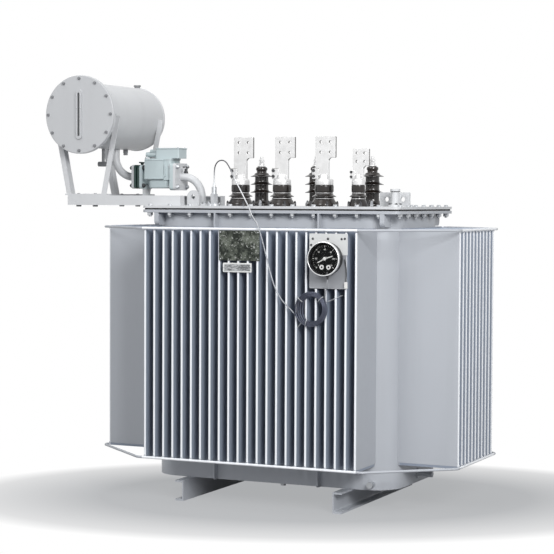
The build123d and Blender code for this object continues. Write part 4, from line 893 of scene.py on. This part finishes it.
# Coil ties: short strips of soft tinned strap hold the spare capillary to a fin tip. The bulb's
# plug hangs beside the bracket.
ties = []
for turn_at in (0.75, 2.45, 4.4):
    c, s = math.cos(turn_at), math.sin(turn_at)
    loop = np.arange(20) * 2 * math.pi / 20
    out = 68.0 + 19.0 * np.cos(loop)
    ties.append(tube(np.column_stack([coil_x + out * c, -600.0 + 10.2 * np.sin(loop), coil_z + out * s]),
                     1.3, (-s, 0, c), 8, closed=True))
ties.append(tube(straight((397.0, -591.3, 997.0), (486.0, -591.3, 1035.0), 6.0), 1.4, (0, -1, 0), 8))
ties.append(tube(straight((259.0, -591.3, 879.0), (298.0, -591.3, 920.0), 6.0), 1.4, (0, -1, 0), 8))
add_piece("coil_ties", *joined(*ties), zinc, "zinc")
add_piece("spare_plug", *block((506.0, -600.0, 1081.0), (15.0, 12.0, 32.0), 2.5), white_mark, "label_metal")
spare_line = rounded([(506.0, -599.0, 1094.0), (508.0, -599.0, 1130.0), (506.0, -597.0, 1165.0),
                      (496.0, -595.5, 1200.0)], 14.0)
add_piece("spare_lead", *tube(spare_line, 2.4, (0, -1, 0), 8), dark_steel, "gasket")

# Rating plate and label: etched metal sheets riveted across the fin tips, left without any words.
def etched(at):
    """Bare etched plate: blotches of dark olive and pale grey, a painted reflection of what is round the sheet, with
    fine pale patches that are painted highlights, matched to the photograph's tones.
    """
    painted_reflection_blotch = at.noise(15.0, 5.0, 0.7)
    fine = at.noise(90.0, 3.0, 0.6)
    base = painted_reflection_blotch.between(0.44, 0.62).blend((0.012, 0.016, 0.012), (0.13, 0.145, 0.12))
    # Fine pale patches: painted highlights.
    return {"Base Color": fine.between(0.58, 0.68).blend(base, (0.33, 0.345, 0.325)),
            "Roughness": 0.28 + 0.3 * painted_reflection_blotch, "Normal": fine.bump(0.15, 0.0005)}


plate_metal = finish_of("plate_metal", etched, Metallic=0.55)


def front_of(name):
    """Middle of a CAD plate's front face, its width and its height, in millimetres."""
    low, high = (np.array(corner) * 1000.0 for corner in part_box(name))
    return ((low[0] + high[0]) / 2, low[1], (low[2] + high[2]) / 2), high[0] - low[0], high[2] - low[2]


(x, y, z), wide, tall = front_of("rating_plate")
add_piece("rating_sheet", *plate([rectangle(wide, tall, 5.0)], 4.0, 0.5, (x, y, z)), plate_metal, "plate_metal",
          "rating_plate")
rivets = [(x + a * (wide / 2 - 8), y, z + b * (tall / 2 - 8)) for a in (-1, 1) for b in (-1, 1)]
label_metal = finish_of("label_metal", lambda at: {
    "Base Color": at.noise(18.0, 3.0).blend((0.60, 0.62, 0.61), (0.78, 0.79, 0.78)),
    "Normal": at.noise(200.0).bump(0.1, 0.0004)}, Roughness=0.35, Metallic=0.3)
label_ink = finish_of("label_ink", lambda at: {
    "Base Color": at.noise(110.0, 3.0, 0.6, stretch=(0.5, 1.0, 1.4)).between(0.42, 0.60).blend(
        (0.11, 0.115, 0.12), (0.42, 0.43, 0.44))}, Roughness=0.4)
(x, y, z), wide, tall = front_of("label_plate")
add_piece("label_sheet", *plate([rectangle(wide, tall, 3.0)], 4.0, 0.5, (x, y, z)), label_metal, "label_metal",
          "label_plate")
add_piece("label_field", *plate([rectangle(wide - 14.0, tall - 12.0, 2.0)], 0.6, 0.1, (x, y - 0.4, z)), label_ink,
          "label_metal")
rivets += [(x + a * (wide / 2 - 4.0), y, z) for a in (-1, 1)]
add_piece("plate_rivets", *knob([(0, 0), (3.4, 0), (3.0, 1.6), (0, 2.2)], 1.0, rivets, (0, -1, 0), 12), zinc, "zinc")

# Lugs, stub and small fittings: burnt plates and turned pieces welded to the cover and the wall.
lug_welds = [tube(straight((x - half, y, cover_z), (x + half, y, cover_z)), 3.4, (0, 0, 1), 8, ripple=0.14, step=7.0)
             for x, half in ((-590.0, 34.0), (516.0, 77.0)) for y in (-8.0, 8.0)]
add_piece("lug_welds", *joined(*lug_welds), drum_paint, "drum_paint")
repaint(["earth_terminal", "drain_plug"], zinc)
stub_x, stub_y = 547.0, -80.0
stub_parts = joined(hexes(four_round(stub_x, stub_y, 27.0, 0.6), (0, 0, 1), 11.0, 6.0),
                    knob([(20.0, 72.0), (24.4, 72.0), (24.4, 75.0), (20.0, 75.0)], 0.4, (stub_x, stub_y, cover_z),
                         around=40, steps=2))
add_bolts("stub_fittings", stub_parts, dark_steel)
